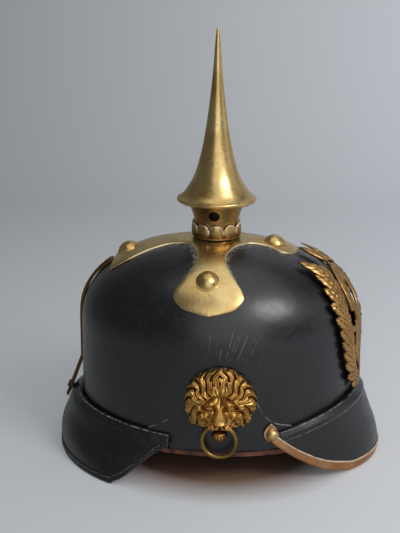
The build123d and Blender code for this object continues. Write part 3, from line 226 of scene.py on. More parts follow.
def new_material(name):
    """Empty node material: gives it, its tree, its Principled shader and the object's coordinates."""
    material = bpy.data.materials.new(name)
    material.use_nodes = True
    tree = material.node_tree
    tree.nodes.clear()
    shader = add(tree, "ShaderNodeBsdfPrincipled")
    add(tree, "ShaderNodeOutputMaterial", Surface=shader.outputs[0])
    place = add(tree, "ShaderNodeTexCoord").outputs["Object"]
    return material, tree, shader, place


def link(tree, shader, **sources):
    """Links outputs to the shader's sockets, or sets plain values there."""
    for key, source in sources.items():
        socket = shader.inputs[key.replace("_", " ")]
        if isinstance(source, bpy.types.NodeSocket):
            tree.links.new(source, socket)
        else:
            socket.default_value = source


def maths(tree, operation, first, second=0.0):
    """One sum on two values."""
    return add(tree, "ShaderNodeMath", {"operation": operation}, _0=first, _1=second).outputs[0]


def point_mark(tree, name):
    """A point attribute of the mesh."""
    return add(tree, "ShaderNodeAttribute", {"attribute_name": name}).outputs["Fac"]


def ramp(tree, factor, stops):
    """Colour ramp from (position, hex colour) stops."""
    node = add(tree, "ShaderNodeValToRGB", Fac=factor)
    while len(node.color_ramp.elements) < len(stops):
        node.color_ramp.elements.new(0.5)
    for element, (position, colour) in zip(node.color_ramp.elements, stops):
        element.position = position
        element.color = linear(colour)
    return node.outputs[0]


def span(tree, value, low, high, out_low, out_high):
    """Maps a value from low..high to out_low..out_high, clamped."""
    node = add(tree, "ShaderNodeMapRange", _0=value, _1=low, _2=high, _3=out_low, _4=out_high)
    return node.outputs[0]


def blend(tree, factor, first, second):
    """Mixes two colours by a factor."""
    node = add(tree, "ShaderNodeMix", {"data_type": "RGBA"}, _0=factor, _6=first, _7=second)
    return node.outputs[2]


def noise(tree, place, cell_mm, detail=3.0, roughness=0.55):
    """Noise whose cells measure about cell_mm millimetres on the object."""
    form = dict(Scale=1 / (cell_mm * MM), Detail=detail, Roughness=roughness)
    return add(tree, "ShaderNodeTexNoise", Vector=place, **form).outputs[0]


def bumps(tree, height, strength, depth_mm, **over):
    """Bump of a depth in millimetres."""
    depth = depth_mm * MM
    return add(tree, "ShaderNodeBump", Strength=strength, Distance=depth, Height=height, **over).outputs[0]


# %% [markdown]
# ## Black leather
#
# The skull is cowhide, boiled, pressed on a form, blackened and waxed. Wax over a fine grain
# gives a satin sheen; handling has left pale specks, fine scratches and softer, duller patches.
# Grain cells are about 0.8 mm, drawn at 1.3 mm because finer ones vanish at this distance. The
# skull also has a fan of thin scratches over the lion: lines of equal slope from one far point.

# %% Waxed black cowhide
FAN_FOOT, FAN_MIDDLE = (4 * MM, 40 * MM), (-21 * MM, 119 * MM)


def scratch_fan(tree, place):
    """Thin lines of noise over (y - y0) / (z - z0), inside a soft window round the fan's middle."""
    ways = add(tree, "ShaderNodeSeparateXYZ", Vector=place).outputs
    y, z = ways["Y"], ways["Z"]
    high = maths(tree, "ABSOLUTE", maths(tree, "SUBTRACT", z, FAN_MIDDLE[1]))
    wide = maths(tree, "ABSOLUTE", maths(tree, "SUBTRACT", y, FAN_MIDDLE[0]))
    tall_window = span(tree, high, 6 * MM, 15 * MM, 1.0, 0.0)
    window = maths(tree, "MULTIPLY", tall_window, span(tree, wide, 16 * MM, 30 * MM, 1.0, 0.0))
    beside, over = maths(tree, "SUBTRACT", y, FAN_FOOT[0]), maths(tree, "SUBTRACT", z, FAN_FOOT[1])
    fan = maths(tree, "DIVIDE", beside, over)
    lines = add(tree, "ShaderNodeTexNoise", {"noise_dimensions": "1D"}, W=fan, Scale=75.0, Detail=0.0)
    lengths = span(tree, noise(tree, place, 7, 1), 0.40, 0.60, 0.0, 1.0)
    hairs = maths(tree, "MULTIPLY", span(tree, lines.outputs[0], 0.62, 0.72, 0.0, 0.55), lengths)
    return maths(tree, "MULTIPLY", window, hairs)


def black_leather(name, grain_mm=1.3, gloss=0.34, scratched=False):
    """Nearly black hide: grain as bump, wax as a thin coat, grey wear where specks and scratches lie."""
    material, tree, shader, place = new_material(name)
    broad = noise(tree, place, 38, 4)
    fine = noise(tree, place, 4, 5)
    speck = noise(tree, place, 1.5, 2, 0.7)
    long_place = add(tree, "ShaderNodeMapping", Vector=place, Scale=(1.0, 1.0, 0.12)).outputs[0]
    scratch = noise(tree, long_place, 1.1, 1, 0.4)
    worn = ramp(tree, broad, [(0.3, "#08090b"), (0.55, "#0d0e11"), (0.75, "#141519")])
    worn = blend(tree, span(tree, speck, 0.64, 0.76, 0.0, 0.50), worn, linear("#5b5a5c"))
    worn = blend(tree, span(tree, scratch, 0.72, 0.80, 0.0, 0.30), worn, linear("#4c4b4d"))
    worn = blend(tree, span(tree, fine, 0.55, 0.80, 0.0, 0.22), worn, linear("#3a3a3f"))
    if scratched:
        worn = blend(tree, scratch_fan(tree, place), worn, linear("#7d7a7b"))
    scale = 1 / (grain_mm * MM)
    cells = add(tree, "ShaderNodeTexVoronoi", {"feature": "DISTANCE_TO_EDGE"}, Vector=place, Scale=scale)
    grain = bumps(tree, span(tree, cells.outputs[0], 0.0, 0.12, 0.0, 1.0), 0.22, 0.12)
    waves = bumps(tree, noise(tree, place, 22, 2), 0.35, 1.2, Normal=grain)
    rough = span(tree, fine, 0.3, 0.7, gloss - 0.05, gloss + 0.13)
    link(tree, shader, Base_Color=worn, Roughness=rough, Normal=waves,
         IOR=1.5, Coat_Weight=0.5, Coat_Roughness=0.25)
    return material


leather = black_leather("waxed_black_cowhide")

# %% [markdown]
# ## Aged brass
#
# Stamped and turned brass, polished for years and then left: golden where hands reach, brown in
# recesses. Polishing gives a satin metal; the patina is duller and darker. On the petals the dark
# foot and creases are painted shade, and the pale line on edges is wear with a painted highlight.

# %% Aged brass
def aged_brass(name, bright="#ecd193", dull="#c6a261", dark="#6b5429", gloss=0.27, recess=None, edge=None):
    """Metal mottled from bright to dull, dark in the attribute `recess`: patina, and painted shade on the
    petals; pale and less metallic on `edge`: wear with a painted highlight.
    """
    material, tree, shader, place = new_material(name)
    broad = noise(tree, place, 26, 4)
    fine = noise(tree, place, 3.2, 5, 0.65)
    speck = noise(tree, place, 1.1, 2, 0.6)
    colour = ramp(tree, broad, [(0.28, dull), (0.62, bright)])
    colour = blend(tree, span(tree, fine, 0.5, 0.75, 0.0, 0.55), colour, linear(dull))
    colour = blend(tree, span(tree, speck, 0.70, 0.84, 0.0, 0.35), colour, linear(dark))
    rough = span(tree, fine, 0.3, 0.75, gloss - 0.04, gloss + 0.16)
    metallic = 1.0
    if recess:
        # Dark in the recesses: patina on the lion and the plate, painted shade and painted reflection on the
        # petals.
        depth = point_mark(tree, recess)
        colour = blend(tree, span(tree, depth, 0.15, 0.85, 0.0, 0.92), colour, linear(dark))
        rough = maths(tree, "ADD", rough, span(tree, depth, 0.2, 0.9, 0.0, 0.18))
    if edge:
        # Pale edge line: wear, together with a painted highlight along the rolled edge.
        amount = maths(tree, "MULTIPLY", point_mark(tree, edge), span(tree, fine, 0.35, 0.6, 0.35, 0.95))
        colour = blend(tree, amount, colour, linear("#f2e4d0"))
        metallic = span(tree, amount, 0.0, 1.0, 1.0, 0.35)
    dents = bumps(tree, noise(tree, place, 5, 4), 0.25, 0.3)
    link(tree, shader, Base_Color=colour, Roughness=rough, Normal=dents, Metallic=metallic)
    return material


brass = aged_brass("aged_turned_brass")
COPPERY = ("#cf9a6a", "#a5744f", "#5e4030", 0.33)
copper_brass = aged_brass("coppery_strip_brass", *COPPERY)
# Painted shade and painted reflection: the neck is a darker, warmer copy of the brass, as it sits in the
# flare's shade.
shaded_neck_brass = aged_brass("shade_warmed_turned_brass", "#b99a64", "#8f6f43", "#4f3a22", 0.30)
# Painted shade: the spine is a much darker copy of the brass, as it lies in the shade behind the shell's
# edge.
spine_brass = aged_brass("shade_darkened_spine_brass", "#6f5233", "#4d3722", "#2a1d12", 0.42)
dark_brass = aged_brass("patinated_brass", "#a98a4e", "#7d6436", "#3a2e1a", 0.36)
edge_brass = aged_brass("edge_worn_and_highlit_plate_brass", edge="edge")
petal_brass = aged_brass("chased_petal_brass", "#d9b877", "#a98450", "#5a371a", 0.24, "hollow", "edge")

# %% Brown leather and iron
def brown_leather(name, light="#7a4a30", deep="#4a2a1b", cell_mm=15):
    """Dull bare hide, stained in patches of one size."""
    material, tree, shader, place = new_material(name)
    broad = noise(tree, place, cell_mm, 5)
    nap = bumps(tree, noise(tree, place, 1.4, 3), 0.3, 0.3)
    link(tree, shader, Base_Color=ramp(tree, broad, [(0.3, deep), (0.65, light)]),
         Roughness=span(tree, broad, 0.3, 0.7, 0.55, 0.78), Normal=nap)
    return material


def dull_iron(name):
    """Dark iron with rust in 3 mm patches: the rust is rougher and browner."""
    material, tree, shader, place = new_material(name)
    rust = noise(tree, place, 3, 5)
    link(tree, shader, Base_Color=ramp(tree, rust, [(0.4, "#4a4642"), (0.7, "#5e4030")]),
         Roughness=span(tree, rust, 0.3, 0.7, 0.45, 0.7), Metallic=0.85)
    return material


tan_leather = brown_leather("worn_brown_sheepskin")
band_leather = brown_leather("worn_sweatband_calf", "#84503a", "#1d1513", 7)
iron = dull_iron("dull_wrought_iron")

# %% Give every carried-over node its material
FINISHES = {"black_leather": leather, "brown_leather": tan_leather, "brass": brass, "iron": iron}
SPECIAL = {"sweatband": band_leather, "front_visor_trim": copper_brass, "rear_spine": spine_brass,
           "neck_collar": shaded_neck_brass, "ring_right": dark_brass, "ring_left": dark_brass}
for part in frame["record"]["subparts"]:
    finish = SPECIAL.get(part["node"], FINISHES[part["material_slot"]])
    node_mesh = nodes[part["node"]].data
    node_mesh.materials.clear()
    node_mesh.materials.append(finish)
print("materials", len(bpy.data.materials))

# %% [markdown]
# ## The skull
#
# One hide pressed over a wooden form. Its outline is a superellipse turned round an oval plan.
# A profile loop runs up the outside, over the rim of the vent and down the inside, and is
# carried round the plan, so the wall is closed. A slow ripple of a quarter millimetre breaks up
# the too perfect reflections of a turned form.

# %% Skull surface
def skull_level(height, offset=0.0):
    """Plan share at a height: 1 up the wall, then (1 - t^n)^(1/n) up the crown."""
    t = np.clip((height - WALL_TOP) / (SHELL_TOP - WALL_TOP + offset), 0, 1)
    return (1 - t ** CROWN_EXPONENT) ** (1 / CROWN_EXPONENT)


def skull_side(forward_place, height, offset):
    """Distance from the middle plane to the skull at a forward place and height: B sqrt(R^2 - (f/A)^2)."""
    inside = skull_level(height, offset) ** 2 - (forward_place / (HALF_LENGTH + offset)) ** 2
    return (HALF_WIDTH + offset) * np.sqrt(np.maximum(inside, 0))


def skull_front(aside, height, offset):
    """Distance forward to the skull at a side place and height: A sqrt(R^2 - (x/B)^2)."""
    inside = skull_level(height, offset) ** 2 - (aside / (HALF_WIDTH + offset)) ** 2
    return (HALF_LENGTH + offset) * np.sqrt(np.maximum(inside, 0))


def on_wall(side, place, height, out):
    """Point on the skull's side, `out` outside it, from forward place and height."""
    return np.stack([side * skull_side(place, height, out), -place + 0 * height, height + 0 * place], -1)


VENT_SHARE, RIPPLE = 0.155, 0.09 * MM


def skull_mesh(around=288, up=110):
    """Loop: wall outside, crown outside, crown inside, wall inside, rounded edge; times the oval plan."""
    t = np.linspace(0.0, 1.0, up) ** 1.1 * np.arccos(VENT_SHARE ** (CROWN_EXPONENT / 2))
    crown_share = np.cos(t) ** (2 / CROWN_EXPONENT)
    crown_rise = np.sin(t) ** (2 / CROWN_EXPONENT)
    wall = np.linspace(SHELL_BOTTOM + SHELL_WALL / 2, WALL_TOP, 14)[:-1]
    edge = np.linspace(0, np.pi, 7)[1:-1]
    steep, turned = np.ones(len(wall)), np.ones(len(edge))
    share = np.concatenate([steep, crown_share, crown_share[::-1], steep, turned])
    rise = np.concatenate([-steep, crown_rise, crown_rise[::-1], -steep, -turned])
    under = SHELL_BOTTOM + SHELL_WALL / 2 * (1 - np.sin(edge))
    level = np.concatenate([wall, np.zeros(2 * up), wall[::-1], under])
    depth = np.repeat([0.0, 1.0], len(wall) + up)
    depth = np.concatenate([depth, (1 + np.cos(edge)) / 2]) * -SHELL_WALL
    angle = np.linspace(0, 2 * np.pi, around, endpoint=False)[None, :]
    share, rise, level, depth = (a[:, None] for a in (share, rise, level, depth))
    height = np.where(rise < 0, level, WALL_TOP + (SHELL_TOP - WALL_TOP + depth) * rise) + 0 * angle
    waves = (3 * angle + 41 * height, 5 * angle - 67 * height + 1.7, 2 * angle + 90 * height + 4.0)
    out = depth + RIPPLE * sum(np.sin(wave) for wave in waves) * np.clip((height - 30 * MM) / (30 * MM), 0, 1)
    x = (HALF_WIDTH + out) * share * np.cos(angle)
    y = (HALF_LENGTH + out) * share * np.sin(angle)
    points = np.stack([x, y, height], -1)
    return mesh_from("skull", points, [grid_faces(len(share), around, True, True)])


skull_leather = black_leather("scratched_black_cowhide", gloss=0.31, scratched=True)
link_piece(skull_mesh(), skull_leather, "leather_shell")

# %% [markdown]
# ## Visors, welts, trim and binding
#
# The front visor and the neck guard are pressed skirts. Each of their strips follows the rim or
# the root, so one function gives a point at a share of the sweep and a distance from that edge.
# A closed profile of distances and offsets, carried along the sweep, makes every one of them.

# %% Visor surface
FRONT, REAR = 1, -1
ROOT_LENGTH, ROOT_WIDTH = 120.3 * MM, 96.5 * MM
SKIRTS = {
    FRONT: dict(height=60.3 * MM, slope=0.25, reach=141.6 * MM, side=2.0 * MM, corner=52.5 * MM,
                flare=[(1, 0, 0), (0.967, 0.13, 0.43), (0.917, 0.265, 0.78), (0.777, 0.43, 1),
                       (0.572, 0.64, 1), (0.364, 0.87, 1), (0.116, 0.995, 0.85), (-0.08, 0.82, 0.5)],
                rim=[(0.318, 0.735), (0.405, 0.565), (0.494, 0.405), (0.563, 0.3), (0.64, 0.19),
                     (0.712, 0.108), (0.786, 0.045), (0.86, 0.0), (1.1, 0.0)]),
    REAR: dict(height=48.3 * MM, slope=0.068, reach=138.0 * MM, side=28.8 * MM, corner=30.0 * MM,
               flare=[(1, 0, 0), (0.911, 0.385, 0.09), (0.642, 0.71, 0.23), (0.445, 0.925, 0.445),
                      (0.259, 0.993, 0.705), (0, 0.882, 1), (-0.12, 0.675, 1.28)],
               rim=[(0.236, 0.675), (0.283, 0.58), (0.33, 0.489), (0.38, 0.377), (0.438, 0.255),
                    (0.494, 0.13), (0.547, 0.045), (0.609, 0.0), (1.1, 0.0)]),
}


def smooth_rows(rows, k):
    """Smooth curve through table rows: the Catmull-Rom cubic of the four rows round k."""
    rows = np.asarray(rows, float)
    k = np.clip(k, 0, len(rows) - 1 - 1e-9)
    i = np.floor(k).astype(int)
    t = (k - i)[..., None]
    a, b, c, d = (rows[np.clip(i + step, 0, len(rows) - 1)] for step in (-1, 0, 1, 2))
    square, cube = 2 * a - 5 * b + 4 * c - d, 3 * b - a - 3 * c + d
    return 0.5 * (2 * b + (c - a) * t + square * t ** 2 + cube * t ** 3)


def skirt(way, share, k, offset=0.0):
    """Point of a visor: oval section k, at a share -1..1 of the sweep between its corners."""
    form = SKIRTS[way]
    height, forward_share, side_share = np.moveaxis(smooth_rows(form["flare"], k), -1, 0)
    half_length = ROOT_LENGTH + (form["reach"] - ROOT_LENGTH) * forward_share
    half_width = ROOT_WIDTH + form["side"] * side_share
    angle = share * np.arccos(form["corner"] / half_length)
    reach = (half_length + offset) * np.cos(angle)
    z = height * (form["height"] - form["slope"] * ROOT_LENGTH + form["slope"] * reach)
    return np.stack([(half_width + offset) * np.sin(angle), -way * reach, z], -1)


def rim_height(way, reach):
    """Height of a visor's rim at a distance along the helmet."""
    fine = smooth_rows(SKIRTS[way]["rim"], np.linspace(0, len(SKIRTS[way]["rim"]) - 1, 200))
    return np.interp(reach, fine[:, 0] * SKIRTS[way]["reach"], fine[:, 1] * SKIRTS[way]["height"])


def skirt_lines(way, share):
    """Lines from root to rim at each share, as points, and the length along each."""
    dense = np.linspace(0, len(SKIRTS[way]["flare"]) - 1, 220)[None, :]
    line = skirt(way, share, dense + 0 * share)
    arc = np.concatenate([0 * share, np.cumsum(np.linalg.norm(np.diff(line, axis=1), axis=2), 1)], 1)
    return dense, line, arc


def length_to_rim(way, line, arc):
    """Length along each line to the place where it passes the rim's height."""
    above = line[..., 2] - rim_height(way, np.abs(line[..., 1]))
    after = np.maximum(np.argmax(above <= 0, 1), 1)
    row = np.arange(len(line))
    part = np.clip(above[row, after - 1] / (above[row, after - 1] - above[row, after]), 0, 1)
    return arc[row, after - 1] + part * (arc[row, after] - arc[row, after - 1])


def skirt_at(way, share, distance, offset=0.0, edge="rim"):
    """Point at a share of the sweep and a distance above the rim, or below the root, along the skirt."""
    share = np.asarray(share, float)[:, None]
    distance, offset = np.broadcast_arrays(np.asarray(distance, float), np.asarray(offset, float))
    dense, line, arc = skirt_lines(way, share)
    wanted = distance + 0 * share
    if edge == "rim":
        wanted = length_to_rim(way, line, arc)[:, None] - distance
    wanted = np.clip(wanted, 0, arc[:, -1:])
    lane = np.arange(len(share))[:, None] * (arc.max() + 1)
    k = np.interp((wanted + lane).ravel(), (arc + lane).ravel(), np.tile(dense[0], len(share)))
    return skirt(way, share, k.reshape(wanted.shape), offset)


def even_shares(count, ends=1.0):
    """Shares of the sweep from corner to corner, closer together near the corners."""
    t = np.linspace(-1, 1, count)
    return ends * (0.55 * t + 0.45 * np.sin(t * np.pi / 2))


def loop_strip(name, points, attributes=None):
    """Mesh of a closed profile (columns) carried along a sweep (rows), its two ends closed by fans."""
    rows, columns = points.shape[:2]
    centres = points[[0, -1]].mean(1)
    extra = {key: np.append(values.ravel(), [0, 0]) for key, values in (attributes or {}).items()}
    faces = [grid_faces(rows, columns, False, True)] + end_fans(rows, columns)
    return mesh_from(name, np.concatenate([points.reshape(-1, 3), centres]), faces, extra)


# %% Leather skirts
def skirt_mesh(name, way, shares, lift=1.0 * MM, wall=2.2 * MM, steps=26):
    """Wall of a visor: outside from the root to just above the rim, and back up the inside."""
    down = np.linspace(0, 1, steps)[None, :]
    _, line, arc = skirt_lines(way, shares[:, None])
    drop = (length_to_rim(way, line, arc) - lift)[:, None]
    outer = skirt_at(way, shares, drop * down, edge="root")
    inner = skirt_at(way, shares, drop * down[:, ::-1], -wall, edge="root")
    return loop_strip(name, np.concatenate([outer, inner], 1))


FRONT_ENDS, REAR_ENDS = 0.985, 1.0
front_skirt = skirt_mesh("front_visor_skirt", FRONT, even_shares(200, FRONT_ENDS))
link_piece(front_skirt, leather, "front_visor")
rear_skirt = skirt_mesh("neck_guard_skirt", REAR, even_shares(220, REAR_ENDS))
link_piece(rear_skirt, leather, "rear_visor")


# %% Brass trim on the front rim
def rim_wrap(way, shares, profile, climb=0.0):
    """U profile of (distance, offset) rows in millimetres round a rim; rows below 0 go under the edge."""
    rows = np.array(profile) * MM
    points = skirt_at(way, shares, np.maximum(rows[:, 0], 0.0), rows[:, 1] + climb * (rows[:, 1] > 0))
    points[..., 2] = np.maximum(points[..., 2] + np.minimum(rows[:, 0], 0.0), FLOOR)
    return points


def trim_mesh():
    """Up the outside to a fine bead, under the rim and up the inside; lifted over the welt's ends."""
    profile = [(9.0, 0.1), (9.1, 0.6), (8.9, 1.05), (8.4, 1.25), (7.9, 1.05), (7.3, 0.95), (4.5, 1.0),
               (2.0, 1.0), (0.7, 0.8), (0.1, 0.1), (-0.1, -1.1), (0.1, -2.3), (0.7, -3.0), (2.0, -3.2),
               (8.6, -3.2), (9.0, -2.7), (9.0, -2.3), (1.2, -2.3), (1.0, -1.1), (1.2, 0.1)]
    shares = even_shares(220, 0.995)
    climb = 1.5 * MM * step_up(np.abs(shares), 0.80, 0.90)[:, None]
    points = rim_wrap(FRONT, shares, profile, climb)
    # Wear and a painted highlight: a pale line along the bead.
    return loop_strip("front_rim_trim", points, {"edge": spread([0.5, 1, 1, 1, 0.6] + [0] * 15, points)})


strip_brass = aged_brass("edge_worn_and_highlit_coppery_brass", *COPPERY, edge="edge")
link_piece(trim_mesh(), strip_brass, "front_visor_trim")


def tongue_mesh(name, side):
    """Leaf behind the stud: half-width w(t) = sin(pi t)^0.8 (1 - t / 3) along its height, 1 mm thick."""
    t = np.linspace(0.02, 1, 26)[:, None]
    across = np.array([-1, -0.98, -0.9, -0.6, -0.2, 0.2, 0.6, 0.9, 0.98, 1, 0.9, 0, -0.9])[None, :]
    out = np.array([3.3, 3.9, 4.1, 4.1, 4.1, 4.1, 4.1, 4.1, 3.9, 3.3, 3.0, 3.0, 3.0])[None, :] * MM
    wide = 6.4 * MM * np.sin(np.pi * t) ** 0.8 * (1 - t / 3) + 0.1 * MM
    points = on_wall(side, 52.4 * MM + across * wide, 37.5 * MM + 16.0 * MM * t, out)
    # Wear and a painted highlight: a pale line round the tongue's edge.
    return loop_strip(name, points, {"edge": spread([1, 1, 0.6, 0, 0, 0, 0, 0.6, 1, 1, 0, 0, 0], points)})


for side, word in RIGHT_AND_LEFT:
    link_piece(tongue_mesh("trim_tongue_" + word, side), strip_brass)


# %% Sewn binding on the neck guard's rim
def binding_mesh():
    """The same U in thin leather, a little pillowed between its edge and its fold."""
    profile = [(5.9, 0.1), (6.0, 0.6), (5.6, 0.95), (4.6, 0.8), (3.2, 0.95), (1.8, 1.15), (0.7, 0.9),
               (0.1, 0.1), (-0.1, -1.1), (0.1, -2.3), (0.7, -3.1), (2.0, -3.3), (5.6, -3.2), (6.0, -2.7),
               (6.0, -2.3), (1.2, -2.3), (1.0, -1.1), (1.2, 0.1)]
    return loop_strip("guard_rim_binding", rim_wrap(REAR, even_shares(220, REAR_ENDS), profile))


link_piece(binding_mesh(), leather, "rear_visor_binding")

# %% [markdown]
# ## Welts and side panels
#
# A narrow strip is sewn over each visor's root, and a shaped panel stiffens each side under the
# lion. Their cut edges have lost their black: the raw leather shows as a pale line, which is
# what draws these shapes for the eye. A point attribute marks that edge for the material.

# %% Edge-worn leather
def edge_worn_leather(name, pale="#8b857d"):
    """The black leather with its own base colour mixed to pale where the attribute `edge` is high."""
    material = black_leather(name)
    tree = material.node_tree
    shader = next(n for n in tree.nodes if n.bl_idname == "ShaderNodeBsdfPrincipled")
    black = shader.inputs["Base Color"].links[0].from_socket
    place = add(tree, "ShaderNodeTexCoord").outputs["Object"]
    broken = span(tree, noise(tree, place, 3.5, 4), 0.42, 0.58, 0.05, 1.0)
    amount = maths(tree, "MULTIPLY", point_mark(tree, "edge"), broken)
    link(tree, shader, Base_Color=blend(tree, amount, black, linear(pale)))
    return material


worn_leather = edge_worn_leather("edge_worn_cowhide")


# %% Welts
def welt_mesh(name, way, ends):
    """Strip from the root down 8 mm, its upper edge proud of the skirt; `edge` is 1 on its cut edge."""
    rows = np.array([(0.0, 0.1), (0.0, 1.25), (0.15, 1.55), (0.5, 1.7), (0.8, 1.65), (1.4, 1.35), (4.0, 1.2),
                     (7.0, 1.3), (7.8, 1.2), (8.1, 0.7), (8.0, 0.1)]) * MM
    points = skirt_at(way, even_shares(220, ends), rows[:, 0], rows[:, 1], edge="root")
    return loop_strip(name, points, {"edge": spread([0.3, 0.7, 1, 1, 0, 0, 0, 0, 0.05, 0.2, 0.1], points)})


link_piece(welt_mesh("front_root_welt", FRONT, 0.945), worn_leather, "front_welt")
link_piece(welt_mesh("rear_root_welt", REAR, 1.0), worn_leather, "rear_welt")


# %% Side panels
PANEL_BOTTOM, PANEL_TOP = 29.5 * MM, 102.4 * MM
PANEL_REAR = [(1.0, 0.17), (0.76, 0.285), (0.612, 0.38), (0.49, 0.53), (0.405, 0.69), (0.29, 0.895)]
PANEL_FRONT = [(0.245, 0.9), (0.376, 0.68), (0.45, 0.542), (0.524, 0.42), (0.64, 0.325), (0.818, 0.27),
               (1.0, 0.205)]
ogee = np.array([(LION_FORWARD - 66 * MM * x, z) for x, z in PANEL_REAR] + [(LION_FORWARD, 1.0)]
                + [(LION_FORWARD + 68 * MM * x, z) for x, z in PANEL_FRONT])
ogee[:, 1] = PANEL_BOTTOM + (PANEL_TOP - PANEL_BOTTOM) * ogee[:, 1]
ogee_line = smooth_rows(ogee, np.linspace(0, len(ogee) - 1, 300))


def root_line(way, reach):
    """Height of a visor's root plane at a distance along the helmet."""
    return SKIRTS[way]["height"] + SKIRTS[way]["slope"] * (reach - ROOT_LENGTH)


def panel_edges(place):
    """Top and bottom of the side panel at a forward place: the ogee, and its foot or a visor's root."""
    top = np.interp(place, ogee_line[:, 0], ogee_line[:, 1])
    foot = np.full_like(place, PANEL_BOTTOM)
    foot = np.where(place > 52.0 * MM, root_line(FRONT, place) + 0.5 * MM, foot)
    foot = np.where(place < -29.5 * MM, root_line(REAR, -place) + 0.5 * MM, foot)
    return top, foot


def panel_mesh(name, side, inner=22):
    """Sheet between foot and ogee, laid on the skull, 1.6 mm thick with a rounded upper edge."""
    place = np.linspace(-54 * MM, 79 * MM, 260)
    top, foot = panel_edges(place)
    place, top, foot = (a[top > foot + 0.6 * MM] for a in (place, top, foot))
    tall = (top - foot)[:, None]
    down = np.array([0.0, 0.15, 0.45, 0.8])[None, :] * MM
    rows = np.concatenate([down + 0 * tall, 0.8 * MM + (tall - 0.8 * MM) * np.linspace(0.04, 1, inner)], 1)
    back = np.concatenate([rows[:, ::-6], rows[:, :1]], 1)
    heights = top[:, None] - np.concatenate([rows, back], 1)
    flat = np.full(inner, PANEL_FACE)
    outs = np.concatenate([np.array([0.9, 1.35, 1.65, 1.7]) * MM, flat, np.full(back.shape[1], 0.1 * MM)])
    points = on_wall(side, place[:, None] + 0 * heights, heights, outs[None, :])
    worn = np.concatenate([[0.8, 1, 0.8], np.zeros(heights.shape[1] - 3)])
    return loop_strip(name, points, {"edge": spread(worn, points)})


for side, word in RIGHT_AND_LEFT:
    panel = panel_mesh("side_panel_" + word, side)
    link_piece(panel, worn_leather, "side_reinforcement_" + word)

# %% [markdown]
# ## Cross on the crown
#
# The cross is stamped from thin plate: its arms are a little puffed and its edge rolls down to
# the leather. A grid goes from the outline in to the middle line of each arm, so its rows follow
# the edge, and each point is laid on the crown along the crown's own normal.

# %% Cross
# Rows are (share of the reach outward, share of the half-width) along each arm's edge.
SIDE_ARM = [(1.0, 0.0), (0.985, 0.33), (0.95, 0.74), (0.885, 0.98), (0.834, 0.945), (0.773, 0.793),
            (0.683, 0.6), (0.575, 0.445), (0.47, 0.415), (0.313, 0.58), (0.219, 0.793)]
FRONT_ARM = [(0.43, 0.745), (0.555, 0.69), (0.667, 0.78), (0.79, 0.99), (0.889, 0.85), (0.964, 0.4),
             (1.0, 0.0)]
REAR_ARM = [(0.318, 0.587), (0.443, 0.57), (0.585, 0.68), (0.71, 0.80), (0.818, 0.885), (0.92, 0.90),
            (1.0, 0.87)]
SIDE_REACH, SIDE_HALF = 89.3 * MM, 29 * MM
FRONT_REACH, FRONT_HALF = 71 * MM, 18.2 * MM
REAR_REACH, REAR_HALF = 88 * MM, 30 * MM
BORE, SIDE_LEAN = 15 * MM, 2.4 * MM
PER_ROW = 14


def on_crown(plan, out):
    """Point over the crown at a plan place, `out` along the normal; side arms lean forward with x squared."""
    lean = SIDE_LEAN * (plan[..., 0] / SIDE_REACH) ** 2
    x, y = plan[..., 0], plan[..., 1] + SPIKE_Y - lean
    a, b, rise = HALF_WIDTH + PANEL_FACE, HALF_LENGTH + PANEL_FACE, SHELL_TOP - WALL_TOP + PANEL_FACE
    share = np.clip(np.hypot(x / a, y / b), 1e-6, 0.999999)
    t = (1 - share ** CROWN_EXPONENT) ** (1 / CROWN_EXPONENT)
    slope = share ** (CROWN_EXPONENT - 2)
    normal = unit(np.stack([slope * x / a ** 2, slope * y / b ** 2, t ** (CROWN_EXPONENT - 1) / rise], -1))
    return np.stack([x, y, WALL_TOP + rise * t], -1) + normal * (out - PANEL_FACE)[..., None]


def arm_quarter(rows, reach, half, way):
    """Outline from a side arm's tip round the inner corner along the next arm, with middle-line points."""
    follow, stop, corner = 0.93, 0.88, BORE * 0.71
    side_edge = [(SIDE_REACH * w, SIDE_HALF * a) for w, a in SIDE_ARM]
    side_middle = [(min(follow * x, stop * SIDE_REACH), 0) for x, _ in side_edge[:-2]]
    side_middle += [(BORE, 0), (corner, corner)]
    next_edge = [(half * a, reach * w) for w, a in rows]
    next_middle = [(0, BORE)] + [(0, min(follow * y, stop * reach)) for _, y in next_edge[1:]]
    last = len(SIDE_ARM) + len(rows) - 1
    k = np.linspace(0, last, last * PER_ROW + 1)
    edge = smooth_rows(side_edge + next_edge, k)
    middle = np.array(side_middle + next_middle)
    middle = np.stack([np.interp(k, np.arange(len(middle)), middle[:, i]) for i in (0, 1)], -1)
    if way < 0:
        t = np.linspace(0, 1, PER_ROW + 1)[1:, None]
        edge = np.concatenate([edge, edge[-1] * (1 - t) + np.array([0, reach]) * t])
        middle = np.concatenate([middle, middle[-1] + 0 * t])
    flip = np.array([1, -way])
    return edge * flip, middle * flip


def cross_outline():
    """Whole outline and its middle points, once round, from two quarters and their mirror images."""
    fronts = arm_quarter(FRONT_ARM, FRONT_REACH, FRONT_HALF, 1)
    rears = arm_quarter(REAR_ARM, REAR_REACH, REAR_HALF, -1)
    mirror = np.array([-1, 1])
    return [np.concatenate([front, (front * mirror)[-2::-1], (rear * mirror)[1:], rear[-2:0:-1]])
            for front, rear in zip(fronts, rears)]


